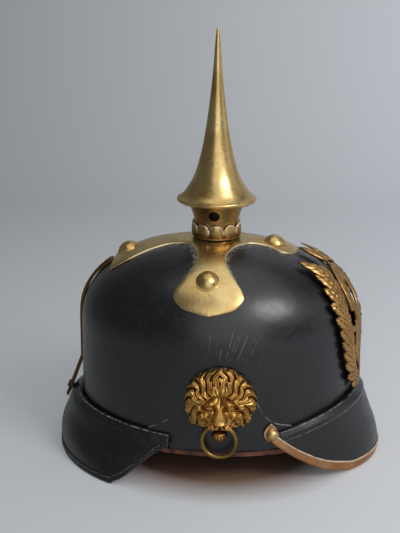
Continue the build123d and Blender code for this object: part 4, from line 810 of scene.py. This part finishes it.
def cross_mesh(inner=11):
    """Columns: under edge, rolled edge, puffed face to the middle line, and back underneath."""
    edge, middle = cross_outline()
    near = np.array([0.25, 0.0, 0.0, 0.12, 0.4, 0.9, 1.6]) * MM
    rise = np.array([0.1, 0.15, 0.5, 1.0, 1.3, 1.45, 1.55]) * MM
    reach = np.linalg.norm(middle - edge, axis=1)[:, None]
    further = near[-1] + (reach - near[-1]) * np.linspace(0, 1, inner + 1)[1:]
    d = np.concatenate([near + 0 * reach, further], 1)
    along = edge[:, None, :] + (middle - edge)[:, None, :] * (d / reach)[..., None]
    far_out = step_up(np.linalg.norm(along, axis=2), 22 * MM, 34 * MM)
    puff = 0.75 * MM * (1 - np.exp(-d / (4.5 * MM))) * far_out
    out = np.concatenate([rise, np.full(inner, 1.6 * MM)]) + puff * (d > 0.05 * MM)
    plan = np.concatenate([along, along[:, [-1]]], 1)
    points = on_crown(plan, np.concatenate([out, np.full((len(edge), 1), 0.1 * MM)], 1))
    # Wear and a painted highlight: a pale line along the rolled edge, fading toward the arms' tips.
    worn = 1 - 0.85 * step_up(np.linalg.norm(edge, axis=1), 66 * MM, 78 * MM)
    mark = spread([0.2, 0.6, 1, 0.9, 0.35] + [0] * (inner + 3), points) * worn[:, None]
    rows, columns = points.shape[:2]
    faces = grid_faces(rows, columns, True, True).reshape(rows, columns, 4)
    # Both halves of an arm meet on its middle line, so no wall stands there.
    faces = np.delete(faces, columns - 2, 1).reshape(-1, 4)
    return mesh_from("cross_plate", points, [faces], {"edge": mark})


link_piece(cross_mesh(), edge_brass, "cross_base")

# %% Dried polish along the cross
def residue_mesh():
    """Crust 0.1 mm thick, 6.5 mm wide at the necks and 2.6 mm further out; `near` is 1 at the edge."""
    edge, middle = cross_outline()
    radius = np.linalg.norm(edge, axis=1)[:, None]
    widen = 1 + 1.5 * (1 - step_up(radius, 40 * MM, 62 * MM))
    step = np.array([-0.3, 0.5, 1.4, 2.6, 1.4, 0.0]) * MM * widen
    plan = edge[:, None, :] + unit(edge - middle)[:, None, :] * step[..., None]
    points = on_crown(plan, np.array([0.10, 0.14, 0.10, 0.03, 0.0, 0.0]) * MM + 0 * step)
    mark = np.array([1, 0.9, 0.45, 0, 0, 0]) * (1 - step_up(radius, 58 * MM, 74 * MM))
    return mesh_from("polish_residue", points, [grid_faces(*points.shape[:2], True, True)], {"near": mark})


def dried_polish():
    """Chalky grey crust, broken by ragged holes of 5 mm and less where it has been rubbed away."""
    material, tree, shader, place = new_material("dried_metal_polish")
    holes = span(tree, noise(tree, place, 5, 6, 0.75), 0.45, 0.60, 0.0, 0.85)
    cover = maths(tree, "MULTIPLY", point_mark(tree, "near"), holes)
    link(tree, shader, Alpha=cover, Base_Color=linear("#a09a92"), Roughness=0.9)
    return material


link_piece(residue_mesh(), dried_polish())

# %% [markdown]
# ## Front plate
#
# A thin stamped emblem: a plain bordered shield under a closed crown, between two leafy branches.
# One height function of the front view gives the relief. A fine grid keeps the cells inside the
# outline, doubles them for the back and closes the cut edges with walls, all by array arithmetic.

# %% Front plate
PLATE_LOW, PLATE_TALL, PLATE_HALF, PLATE_TOP = 62.0, 116.0, 50.0, 177.4
BRANCH = [(0.08, 0.04), (0.42, 0.085), (0.6, 0.2), (0.73, 0.38), (0.81, 0.56), (0.76, 0.7), (0.6, 0.83),
          (0.48, 0.925)]
STEM, LEAF_LONG, LEAF_WIDE, LEAF_TILT = 1.7, 9.0, 4.4, 0.56


def leaf_relief(x, z, at, turn):
    """Leaf 18 by 9 mm: 0.5 + 1.9 sqrt(1 - u^2 - v^2), a groove along its rib and fine slanting veins."""
    u = ((x - at[0]) * np.cos(turn) + (z - at[1]) * np.sin(turn)) / LEAF_LONG
    v = ((z - at[1]) * np.cos(turn) - (x - at[0]) * np.sin(turn)) / LEAF_WIDE
    full = 1 - u ** 2 - v ** 2 - 0.14 * np.cos(u * 15) * np.abs(v)
    groove = 0.9 * np.exp(-(v / 0.14) ** 2)
    veins = 0.3 * np.cos(u * 17 - np.abs(v) * 8)
    return np.where(full > 0, 0.5 + 1.9 * np.sqrt(np.clip(full, 0, 1)) - groove + veins, -1)


def branch_relief(x, z):
    """Highest of the stem and its 22 leaves, on the side x > 0."""
    line = smooth_rows(BRANCH, np.linspace(0, len(BRANCH) - 1, 160))
    line = line * np.array([PLATE_HALF, PLATE_TALL]) + np.array([0, PLATE_LOW])
    arc = np.concatenate([[0], np.cumsum(np.linalg.norm(np.diff(line, axis=0), axis=1))])
    near = np.sqrt(((x[..., None] - line[:, 0]) ** 2 + (z[..., None] - line[:, 1]) ** 2).min(-1)) / STEM
    relief = np.where(near < 1, 0.6 + 1.2 * np.sqrt(np.clip(1 - near ** 2, 0, 1)), -1)
    for share in np.arange(1, 12) / 12:
        at, beyond = (np.array([np.interp(share * arc[-1] + step, arc, line[:, k]) for k in (0, 1)])
                      for step in (0, 0.5))
        turn = math.atan2(*(beyond - at)[::-1])
        for tilt in (-LEAF_TILT, LEAF_TILT):
            spot = at + LEAF_LONG / 2 * np.array([math.cos(turn + tilt), math.sin(turn + tilt)])
            relief = np.maximum(relief, leaf_relief(x, z, spot, turn + tilt))
    return relief


def ridge(distance, wide):
    """Rounded ridge of height 1: exp of minus the squared distance in half-widths."""
    return np.exp(-(distance / wide) ** 2)


def shield_relief(x, share, aside):
    """Bordered field with a plain cross and a fine check; gives also the distance in from its edge."""
    round_foot = np.sqrt(np.clip(26.9 ** 2 - ((0.35 - share) * PLATE_TALL) ** 2, 0, None)) - 3.4
    half = np.where(share > 0.35, 23.5, round_foot)
    inset = np.minimum(half - aside, (0.52 - share) * PLATE_TALL)
    bars = ridge(x, 1.1) + ridge((share - 0.37) * PLATE_TALL, 1.1)
    z = share * PLATE_TALL + PLATE_LOW
    check = 0.25 * np.cos((x + z) * 2.2) * np.cos((x - z) * 2.2)
    return 1.2 + ridge(inset - 1.6, 0.8) + 0.7 * bars + check, inset


def crown_relief(x, share, aside):
    """Closed crown of arches round two openings; gives also where its metal is."""
    u, v = x / 27.0, (share - 0.60) * PLATE_TALL / 33.0
    inside = 1 - u ** 2 - v ** 2
    tilt = math.radians(20)
    du, dv = aside - 11.9, (v - 0.34) * 33.0
    long_way = du * math.cos(tilt) + dv * math.sin(tilt)
    cross_way = dv * math.cos(tilt) - du * math.sin(tilt)
    window = (long_way / 5.8) ** 2 + (cross_way / 11.6) ** 2
    beads = 0.7 + 0.3 * np.cos(np.arctan2(v, u) * 26)
    arches = 1.2 + 1.5 * ridge(inside - 0.16, 0.10) * beads + 0.9 * ridge(window - 1.25, 0.2)
    return arches, (inside > 0) & (v > 0) & (window > 1)


def plate_relief(x, z):
    """Height in millimetres over the plate's ground, or less than 0 outside the metal."""
    share = (z - PLATE_LOW) / PLATE_TALL
    aside = np.abs(x)
    relief = branch_relief(aside, z)

    def lay(where, form):
        return np.where(where, np.maximum(form, relief), relief)

    field, inset = shield_relief(x, share, aside)
    relief = np.where((inset > 0) & (share > 0.12), np.maximum(field, relief * (inset < 3)), relief)
    pearls = 1.3 + 1.4 * np.abs(np.cos(x * np.pi / 4.2)) * ridge((share - 0.558) * PLATE_TALL, 2.0)
    relief = lay((aside < 21) & (share > 0.515) & (share < 0.60), pearls)
    arches, metal = crown_relief(x, share, aside)
    relief = lay(metal, arches)
    orb = 1 - (x / 5.8) ** 2 - ((z - 172.2) / 5.8) ** 2
    relief = lay(orb > 0, 1.0 + 2.2 * np.sqrt(np.clip(orb, 0, 1)))
    neck = (aside < 1.7) & (share > 0.6)
    bar = (aside < 41) & (np.abs(share - 0.47) < 0.0225)
    relief = lay(neck | bar, 1.1)
    ribbon = 1 - (x / 22.5) ** 2 - ((share - 0.04) / 0.0375) ** 2
    knot = (aside < 3.4) & (share > 0.04) & (share < 0.14)
    return lay((ribbon > 0) | knot, 1.5 + 0.8 * np.sin(x * 0.75 + share * 40))


def blurred(height, rounds, along, across, keep_ends=False):
    """Mean of each cell and its four neighbours some cells off, several times over."""
    soft = height.copy()
    for _ in range(rounds):
        steps = ((0, along), (0, -along), (1, across), (1, -across))
        around = (np.roll(soft, step, axis) for axis, step in steps)
        soft = sum(around, soft) / 5
        if keep_ends:
            soft[0], soft[-1] = height[0], height[-1]
    return soft


def plate_mesh(step=0.5):
    """Front and back grids of kept cells, with walls where a kept cell has no neighbour."""
    x, z = np.meshgrid(np.arange(-55, 55.1, step), np.arange(57, 180.1, step), indexing="ij")
    relief = plate_relief(x, z)
    low_x, low_z = x[:-1, :-1], z[:-1, :-1]
    middle = plate_relief(low_x + step / 2, low_z + step / 2)
    keep = np.pad((middle > 0) & (low_z > PLATE_LOW - 0.5) & (low_z < PLATE_TOP), 1)
    height = np.clip(relief, 0.4, 4.0)
    hollow = np.clip((blurred(height, 10, 2, 2) - height) / 0.7 + 0.2, 0, 1)
    rows, columns = x.shape
    layers = [np.stack([x * MM, -skull_front(x * MM, z * MM, out * MM), z * MM], -1).reshape(-1, 3)
              for out in (3.7 + height, 3.5 + 0 * height)]
    i, j = np.nonzero(keep[1:-1, 1:-1])
    under = rows * columns

    def at(di, dj):
        return (i + di) * columns + j + dj

    front = np.stack([at(0, 0), at(1, 0), at(1, 1), at(0, 1)], -1)
    faces = [front, front[:, ::-1] + under]
    walls = ((1, 0, (1, 1), (1, 0)), (-1, 0, (0, 0), (0, 1)), (0, 1, (0, 1), (1, 1)), (0, -1, (1, 0), (0, 0)))
    for di, dj, a, b in walls:
        bare = ~keep[i + 1 + di, j + 1 + dj]
        first, second = at(*a)[bare], at(*b)[bare]
        faces.append(np.stack([first, second, second + under, first + under], -1))
    used, faces = np.unique(np.concatenate(faces), return_inverse=True)
    dark = np.concatenate([hollow.ravel(), np.full(under, 0.9)])[used]
    return mesh_from("front_emblem", np.concatenate(layers)[used], [faces.reshape(-1, 4)], {"hollow": dark})


stamped_brass = aged_brass("stamped_relief_brass", "#d3a566", "#a27a46", "#3a2413", 0.30, "hollow")
link_piece(plate_mesh(), stamped_brass, "front_plate")

# %% [markdown]
# ## Petals round the neck
#
# Ten petals are chased from one strip: each one bulges and ends in a round arch, and the creases
# between them go down to the foot, where the warm brass mirrors itself. That reflection and the
# shade in the creases are painted into the brass as darker colour.

# %% Petals
PETAL_FOOT = 187.7


def petal_mesh(count=10, columns_each=28, rows=18):
    """Radius 19.3 + (0.9 + 1.25 sin(pi (0.12 + 0.8 h)) + 0.5 h^4) cos(pi s / 2)^0.4; its top is an arch.

    h is the height share, and s runs from -1 to 1 over each petal."""
    columns = count * columns_each
    turn = np.linspace(0, 2 * np.pi, columns, endpoint=False)[None, :]
    s = (turn * count / (2 * np.pi) + 0.347) % 1 * 2 - 1
    arch = 5.0 + 6.3 * (1 - np.abs(s) ** 2.0) ** 0.55
    h = np.linspace(0, 1, rows)[:, None]
    swell = np.cos(s * np.pi / 2) ** 0.40
    outside = 19.3 + (0.9 + 1.25 * np.sin(np.pi * (0.12 + 0.80 * h)) + 0.5 * h ** 4) * swell
    inside = np.array([(19.0, 0.985), (18.7, 0.9), (18.7, 0.0)])
    radius = np.concatenate([outside, inside[:, :1] + 0 * s]) * MM
    level = (PETAL_FOOT + arch * np.concatenate([h, inside[:, 1:]])) * MM
    share = np.concatenate([h, np.ones((1, 1)), np.zeros((2, 1))])
    # Painted shade and painted reflection: `hollow` darkens each petal toward its foot and in the creases
    # between petals.
    crease = np.clip((np.abs(s) - 0.72) / 0.28, 0, 1)
    hollow = np.clip(0.75 * (1 - share) ** 1.5 + 0.9 * crease * (1 - share) + 0.1, 0, 1)
    # Wear and a painted highlight: a pale line along the arch and the sides of each petal.
    sides = 0.75 * step_up(np.abs(s), 0.80, 0.92) * step_up(share, 0.3, 0.6)
    edge = np.clip(step_up(share, 0.86, 0.97) + sides, 0, 1)
    points = np.stack([radius * np.cos(turn), radius * np.sin(turn) + SPIKE_Y, level], -1)
    faces = grid_faces(rows + len(inside), columns, True, True)
    return mesh_from("neck_petals", points, [faces], {"hollow": hollow, "edge": edge})


link_piece(petal_mesh(), petal_brass, "petal_crown")

# %% [markdown]
# ## Thread
#
# Waxed linen thread, about 0.7 mm thick, sewn with an awl at 3 mm steps. Each stitch is a small
# spindle that dives into the leather at both ends. All stitches of a seam are one mesh: the same
# two dozen faces, repeated along the seam by array arithmetic.

# %% Stitches
def stitches(name, line, out, across, length=2.3 * MM, width=0.42 * MM, step=3.1 * MM, slant=0.0):
    """Spindles at even steps along a line: three rings of six points, and a point at each end.

    line is (n, 3); out and across are unit normals at its points: up from the leather, and sideways."""
    arc = np.concatenate([[0], np.cumsum(np.linalg.norm(np.diff(line, axis=0), axis=1))])
    stops = np.arange(step, arc[-1] - step, step)
    at, lift, aside = (np.stack([np.interp(stops, arc, a[:, k]) for k in range(3)], -1)
                       for a in (line, out, across))
    along = unit(unit(np.cross(aside, lift)) + slant * aside)
    turn = np.linspace(0, 2 * np.pi, 6, endpoint=False)[None, :, None]
    body = []
    for t, wide, high in ((-0.36, 0.8, 0.55), (0.0, 1.0, 1.0), (0.36, 0.8, 0.55)):
        ring = (at + along * t * length)[:, None, :] + aside[:, None, :] * np.cos(turn) * wide * width
        body.append(ring + lift[:, None, :] * (np.sin(turn) * 0.8 + 0.35) * high * width)
    tips = [(at + along * t * length - lift * 0.2 * width)[:, None, :] for t in (-0.5, 0.5)]
    points = np.concatenate(body + tips, 1)
    base = (np.arange(len(stops)) * points.shape[1])[:, None, None]
    parts = [grid_faces(3, 6, False, True)] + end_fans(3, 6)
    return mesh_from(name, points, [(part[None] + base).reshape(-1, part.shape[1]) for part in parts])


def waxed_thread(name, light, deep):
    """Matt thread, stained in 6 mm patches."""
    material, tree, shader, place = new_material(name)
    link(tree, shader, Base_Color=ramp(tree, noise(tree, place, 6, 4), [(0.35, deep), (0.6, light)]),
         Roughness=span(tree, noise(tree, place, 2, 2), 0.3, 0.7, 0.6, 0.8))
    return material


pale_thread = waxed_thread("waxed_linen_thread", "#a09a92", "#3c3a39")
black_thread = waxed_thread("blackened_thread", "#3d3c3c", "#141416")


def seam_on_skirt(name, way, distance, out, edge, ends, material, **form):
    """Seam along a visor at a distance from its rim or root."""
    shares = even_shares(160, ends)
    line, further = (skirt_at(way, shares, np.array([distance + more]), np.array([out]), edge)[:, 0]
                     for more in (0.0, 0.5 * MM))
    across = unit(further - line)
    lift = unit(np.cross(np.gradient(line, axis=0), across))
    lift = lift * np.sign((lift * line * np.array([1, 1, 0])).sum(1, keepdims=True))
    link_piece(stitches(name, line, lift, across, **form), material)


seam_on_skirt("front_welt_seam", FRONT, 8.6 * MM, 0.35 * MM, "root", 0.93, pale_thread,
              slant=0.55, step=2.6 * MM, length=2.6 * MM)
seam_on_skirt("rear_welt_seam", REAR, 9.0 * MM, 0.2 * MM, "root", 0.97, black_thread, step=3.4 * MM)
seam_on_skirt("binding_seam_outer", REAR, 3.1 * MM, 1.0 * MM, "rim", 0.97, black_thread, step=3.0 * MM)
seam_on_skirt("binding_seam_inner", REAR, 4.9 * MM, 0.85 * MM, "rim", 0.97, pale_thread,
              step=3.0 * MM, length=2.5 * MM, width=0.25 * MM)


def seam_on_panel(name, side):
    """Seam 7.5 mm inside the ogee, from one visor to the other."""
    place = np.linspace(-44 * MM, 58 * MM, 240)
    top = np.interp(place, ogee_line[:, 0], ogee_line[:, 1])
    slope = np.gradient(top, place)
    inset = 7.5 * MM / np.sqrt(1 + slope ** 2)
    f, z = place + slope * inset, top - inset
    keep = (z > 46 * MM) & (np.gradient(f) > 0)
    line = on_wall(side, f[keep], z[keep], PANEL_FACE + 0.05 * MM)
    run = unit(np.gradient(line, axis=0))
    lift = line * np.array([1, 0.6, 0])
    lift = unit(lift - run * (lift * run).sum(1, keepdims=True))
    seam = stitches(name, line, lift, np.cross(lift, run), width=0.28 * MM, length=1.8 * MM)
    link_piece(seam, black_thread)


for side, word in RIGHT_AND_LEFT:
    seam_on_panel("panel_seam_" + word, side)

# %% [markdown]
# ## Lion's head
#
# A cast and chased boss. As it is seen from the front it can be one height field: a height over
# the panel for each direction and distance from the middle. Broad forms come first, a domed
# mane and a flatter face, then brows, eyes, nose, muzzle and chin, and then locks of hair whose
# ridges run outward in shallow S curves. The hollows keep their dark patina, so the difference
# between the height and its own blur is stored for the brass.

# %% Lion's head
def hump(a, b, at_a, at_b, wide, high):
    """Round hump of height 1 with two half-widths."""
    return ridge(a - at_a, wide) * ridge(b - at_b, high)


def lock_layer(turn, radius, count, shift, tips):
    """Flame-shaped locks: a saw wave, steep on one side, over a turn that sways with the radius.

    Gives the ridge height 0..1, and the radius of each lock's own tip."""
    sway = turn + 0.16 * np.sin(radius / 4.1 + 1.9 * turn + shift) + 0.05 * np.sin(radius / 1.9 - 4 * turn)
    wave = sway * count / np.pi + shift
    part = wave % 1
    rise = np.where(part < 0.34, part / 0.34, (1 - part) / 0.66)
    strands = 0.16 * np.cos(2 * np.pi * (part * 3 + radius / 9))
    length = tips + 1.7 * np.sin(np.floor(wave) * 2.4 + shift * 5)
    return np.sin(rise * np.pi / 2) ** 0.8 + strands * rise, length - 3.2 * np.abs(part - 0.34) ** 1.2


def mane_height(a, b):
    """Dome of the mane with three layers of locks, the inner ones shorter and higher."""
    radius = np.hypot(a, b)
    turn = np.abs(np.arctan2(a, b)) * (1 + 0.02 * np.sign(a))
    ground = 9.6 * np.sqrt(np.clip(1 - (radius / 31.0) ** 2, 0, 1)) - 1.5
    height = ground
    for count, shift, tips, lift in ((10, 0.15, 40.0, 0.0), (8, 0.55, 23.5, 1.3), (6, 0.05, 17.5, 2.0)):
        lock, tip = lock_layer(turn, radius, count, shift, tips)
        swell = 0.8 + 0.5 * np.sin(np.clip(radius / tips, 0, 1) * np.pi)
        height = np.maximum(height, (ground + lift + lock * 2.7 * swell) * step_up(tip - radius, -0.5, 1.1))
    return height


def face_detail(a, b):
    """Sum of the humps and creases of brows, eyes, cheeks, nose and muzzle, in millimetres."""
    aside = np.abs(a)

    def pair(at_a, at_b, wide, high):
        return hump(a, b, at_a, at_b, wide, high) + hump(a, b, -at_a, at_b, wide, high)

    brows = pair(6.9, 2.6, 4.0, 2.7) * 5.0 + pair(11.6, 1.4, 2.6, 1.6) * 2.0
    groove = hump(a, b, 0, 4.5, 1.5, 5.0) * -1.6
    sockets = pair(9.6, -2.6, 4.4, 1.9) * -3.8 + pair(4.2, -3.2, 1.6, 2.2) * -2.6
    eyes = pair(9.7, -2.7, 2.5, 1.1) * 3.0
    droop = 0.05 * (aside - 9.0) ** 2
    lids = ridge(b + 1.1 + droop, 0.55) * step_up(5.0 - np.abs(aside - 9.6), 0, 2) * 1.6
    bags = ridge(b + 5.1 - droop, 0.7) * step_up(4.6 - np.abs(aside - 9.4), 0, 2) * 1.1
    cheeks = pair(11.4, -9.6, 2.6, 3.6) * 2.8 - pair(7.0, -9.4, 1.5, 3.2) * 1.3
    bridge_half = 2.6 + 2.0 * step_up(-b, 2, 13)
    bridge_ends = (1 - step_up(-b, 13.2, 16.6)) * step_up(-b, -4, 1)
    bridge = step_up(bridge_half - aside, -1.4, 1.5) * (0.5 + step_up(-b, -3, 12)) * bridge_ends * 3.1
    nose = hump(a, b, 0, -14.2, 4.6, 1.9) * 2.6 - pair(2.9, -15.9, 1.2, 0.8) * 2.4
    pads = pair(5.9, -18.3, 4.6, 3.0) * 5.6
    whiskers = np.sin((aside * 0.55 + b) * 3.3) * 0.55 * pair(7.2, -17.6, 2.9, 3.0)
    parting = hump(a, b, 0, -18.8, 0.8, 2.2) * -2.2
    return brows + groove + sockets + eyes + lids + bags + cheeks + bridge + nose + pads + whiskers + parting


def lion_height(a, b):
    """Height in millimetres over the panel at a forward and b up from the middle of the mane."""
    height, aside = mane_height(a, b), np.abs(a)
    oval = (a / (15.4 + 0.24 * np.minimum(b, 0))) ** 2 + ((b + 7.0) / 16.6) ** 2
    face = 5.8 + 6.0 * np.sqrt(np.clip(1 - oval, 0, 1))
    hair = step_up(oval, 0.78, 1.0)
    height = np.where(oval < 1.0, height * hair + face * (1 - hair), height)
    height = height + face_detail(a, b) * step_up(1.22 - oval, 0, 0.3)
    chin_oval = (a / 6.4) ** 2 + ((b + 26.2) / 7.0) ** 2
    tuft = np.sin(aside * 2.9 + 0.5) * 0.6 * step_up(-b, 26, 29)
    chin = 2.5 + 7.6 * np.sqrt(np.clip(1 - chin_oval, 0, 1)) + tuft + hump(a, b, 0, -24.9, 4.6, 1.3) * 1.8
    below = np.maximum(height * step_up(b, -25.5, -21.8), chin * step_up(1.02 - chin_oval, 0, 0.12))
    height = np.where(b < -21.0, below, height)
    mouth = ridge(b + 22.6 + 0.03 * a ** 2, 0.8) * step_up(7.6 - aside, 0, 2) * 3.6
    beside = step_up(aside, 8.0, 9.2) * (1 - step_up(aside, 16.0, 17.4)) * step_up(-b, 17.6, 19.0)
    height = height - mouth
    return np.maximum(height * (1 - beside) + np.minimum(height, 3.4) * beside, 0.25)


def lion_rim(angle):
    """Outline radius in millimetres: uneven lock tips, drawn out to the chin below."""
    lobes = 27.2 + 1.5 * np.abs(np.sin(angle * 8.5 + 0.6)) ** 0.8 + 0.5 * np.sin(angle * 5 + 1)
    below = np.abs(np.angle(np.exp(1j * (angle + np.pi / 2))))
    chin = np.where(below < 0.215, 33.2 * np.sqrt(np.clip(1 - (below / 0.215) ** 2 * 0.14, 0, 1)), 0)
    jaw = 24.8 + 2.2 * step_up(below, 0.45, 0.8)
    return np.maximum(np.minimum(lobes, jaw + 40 * step_up(below, 0.75, 1.0)), chin)


def lion_mesh(name, side, rings=150, around=560):
    """Polar grid laid on the panel: height field on top, rolled down at the rim, closed behind by a fan."""
    angle = np.linspace(0, 2 * np.pi, around, endpoint=False)[None, :]
    share = np.linspace(0.004, 1, rings)[:, None] ** 0.85
    rim = lion_rim(angle)
    a, b = share * rim * np.cos(angle), share * rim * np.sin(angle)
    roll = np.sqrt(1 - np.clip((share - 0.965) / 0.04, 0, 1) ** 2)
    height = lion_height(a, b) * roll + 0.05
    hollow = np.clip((blurred(height, 14, 1, 2, keep_ends=True) - height) / 0.9 + 0.25, 0, 1)
    place = LION_FORWARD + a * MM
    skin = on_wall(side, place, LION_HEIGHT + b * MM, PANEL_FACE)
    normal = np.stack([side * np.ones_like(place), -place / (HALF_LENGTH ** 2) * HALF_WIDTH, 0 * place], -1)
    points = np.concatenate([skin + unit(normal) * height[..., None] * MM, skin[-1:]])
    centres = np.array([points[0].mean(0), points[-1].mean(0)])
    dark = np.concatenate([hollow.ravel(), np.full(around, 0.8), [0.3, 0.8]])
    faces = [grid_faces(rings + 1, around, False, True)] + end_fans(rings + 1, around)
    return mesh_from(name, np.concatenate([points.reshape(-1, 3), centres]), faces, {"hollow": dark})


cast_brass = aged_brass("cast_and_chased_brass", "#dcae62", "#b58742", "#4c2f15", 0.30, "hollow")
for side, word in RIGHT_AND_LEFT:
    link_piece(lion_mesh("lion_head_" + word, side), cast_brass, "lion_boss_" + word)

# %% [markdown]
# ## Floor, backdrop and light
#
# The photograph has a seamless pale grey sheet that bends up behind the helmet, and broad soft
# daylight from above and from the right.

# %% Seamless backdrop
def backdrop():
    """Sheet swept along the camera's level direction: floor, quarter bend of 0.5 m, upright wall."""
    bend = np.linspace(0.1, np.pi / 2, 12)
    run = np.concatenate([np.linspace(-2.2, 0.9, 12), 0.9 + 0.5 * np.sin(bend), np.full(8, 1.4)])
    rise = np.concatenate([np.zeros(12), 0.5 * (1 - np.cos(bend)), np.linspace(0.7, 3.2, 8)])
    across = np.linspace(-3.0, 3.0, 9)
    flat = run[:, None, None] * level_forward + across[None, :, None] * level_right
    points = flat + (rise[:, None, None] - 0.2 * MM) * zenith
    return mesh_from("backdrop", points, [grid_faces(len(run), len(across))[:, ::-1]], closed=False)


def grey_paper():
    """Matt paper with painted light: paler toward the window, and a painted brown bounce of the lining's red
    light under the helmet.

    Only the camera sees its faint glow, which lifts the far wall. From behind it is clear, so that
    a camera beyond the wall still sees the helmet."""
    material, tree, shader, place = new_material("pale_grey_paper")
    to_window, near = (add(tree, "ShaderNodeVectorMath", {"operation": "DOT_PRODUCT"},
                           _0=place, _1=tuple(way)).outputs["Value"] for way in (level_right, -level_forward))
    # Painted light: the paper is paler toward the window.
    window_light_tone = ramp(tree, span(tree, to_window, -0.45, 0.40, 0.0, 1.0), [(0.0, "#a0a3a2"), (1.0, "#d6d8de")])
    far = add(tree, "ShaderNodeVectorMath", {"operation": "LENGTH"}, _0=place).outputs["Value"]
    clear = span(tree, far, 85 * MM, 130 * MM, 0.0, 1.0)
    # Painted light: a faint glow that only camera rays see, a little stronger toward the camera and none
    # under the helmet.
    eye = add(tree, "ShaderNodeLightPath").outputs["Is Camera Ray"]
    lit = maths(tree, "MULTIPLY", clear, span(tree, near, -0.9, 0.5, 0.15, 0.30))
    # Painted bounce light: brown under the helmet, where the lining's red light falls.
    link(tree, shader, Base_Color=blend(tree, clear, linear("#8a6a55"), window_light_tone), Roughness=0.85,
         Emission_Color=linear("#c4c8ce"), Emission_Strength=maths(tree, "MULTIPLY", eye, lit))
    behind = add(tree, "ShaderNodeNewGeometry").outputs["Backfacing"]
    nothing = add(tree, "ShaderNodeBsdfTransparent").outputs[0]
    one_sided = add(tree, "ShaderNodeMixShader", _0=behind, _1=shader.outputs[0], _2=nothing).outputs[0]
    output = next(node for node in tree.nodes if node.bl_idname == "ShaderNodeOutputMaterial")
    tree.links.new(one_sided, output.inputs["Surface"])
    return material


show(backdrop(), grey_paper())

# %% Soft lamps and sky
def soft_lamp(name, at, to, size, radiance):
    """Square area lamp turned to face a point; its power is radiance times pi times area."""
    lamp = bpy.data.lights.new(name, "AREA")
    lamp.shape, lamp.size, lamp.energy = "SQUARE", size, radiance * math.pi * size ** 2
    away = unit(np.array(at) - np.array(to))
    side = unit(np.cross(zenith, away))
    place_object(name, lamp, side, np.cross(away, side), away, at)


soft_lamp("key_window", (-1.15, -1.35, 1.55), (0, 0, 0.12), 0.85, 8.6)
soft_lamp("room_behind_camera", (-2.3, -0.5, 0.95), (0, 0, 0.15), 2.2, 0.95)
soft_lamp("room_at_right", (0.2, -2.3, 0.7), (0, 0, 0.15), 1.8, 0.42)
soft_lamp("ceiling", (-0.4, -0.3, 2.3), (-0.1, 0, 0.1), 2.4, 0.85)
world = bpy.data.worlds.new("studio")
bpy.context.scene.world = world
world.use_nodes = True
sky = world.node_tree.nodes["Background"].inputs
sky["Color"].default_value, sky["Strength"].default_value = linear("#dfe3e8"), 0.14
print("lamps", len(bpy.data.lights))
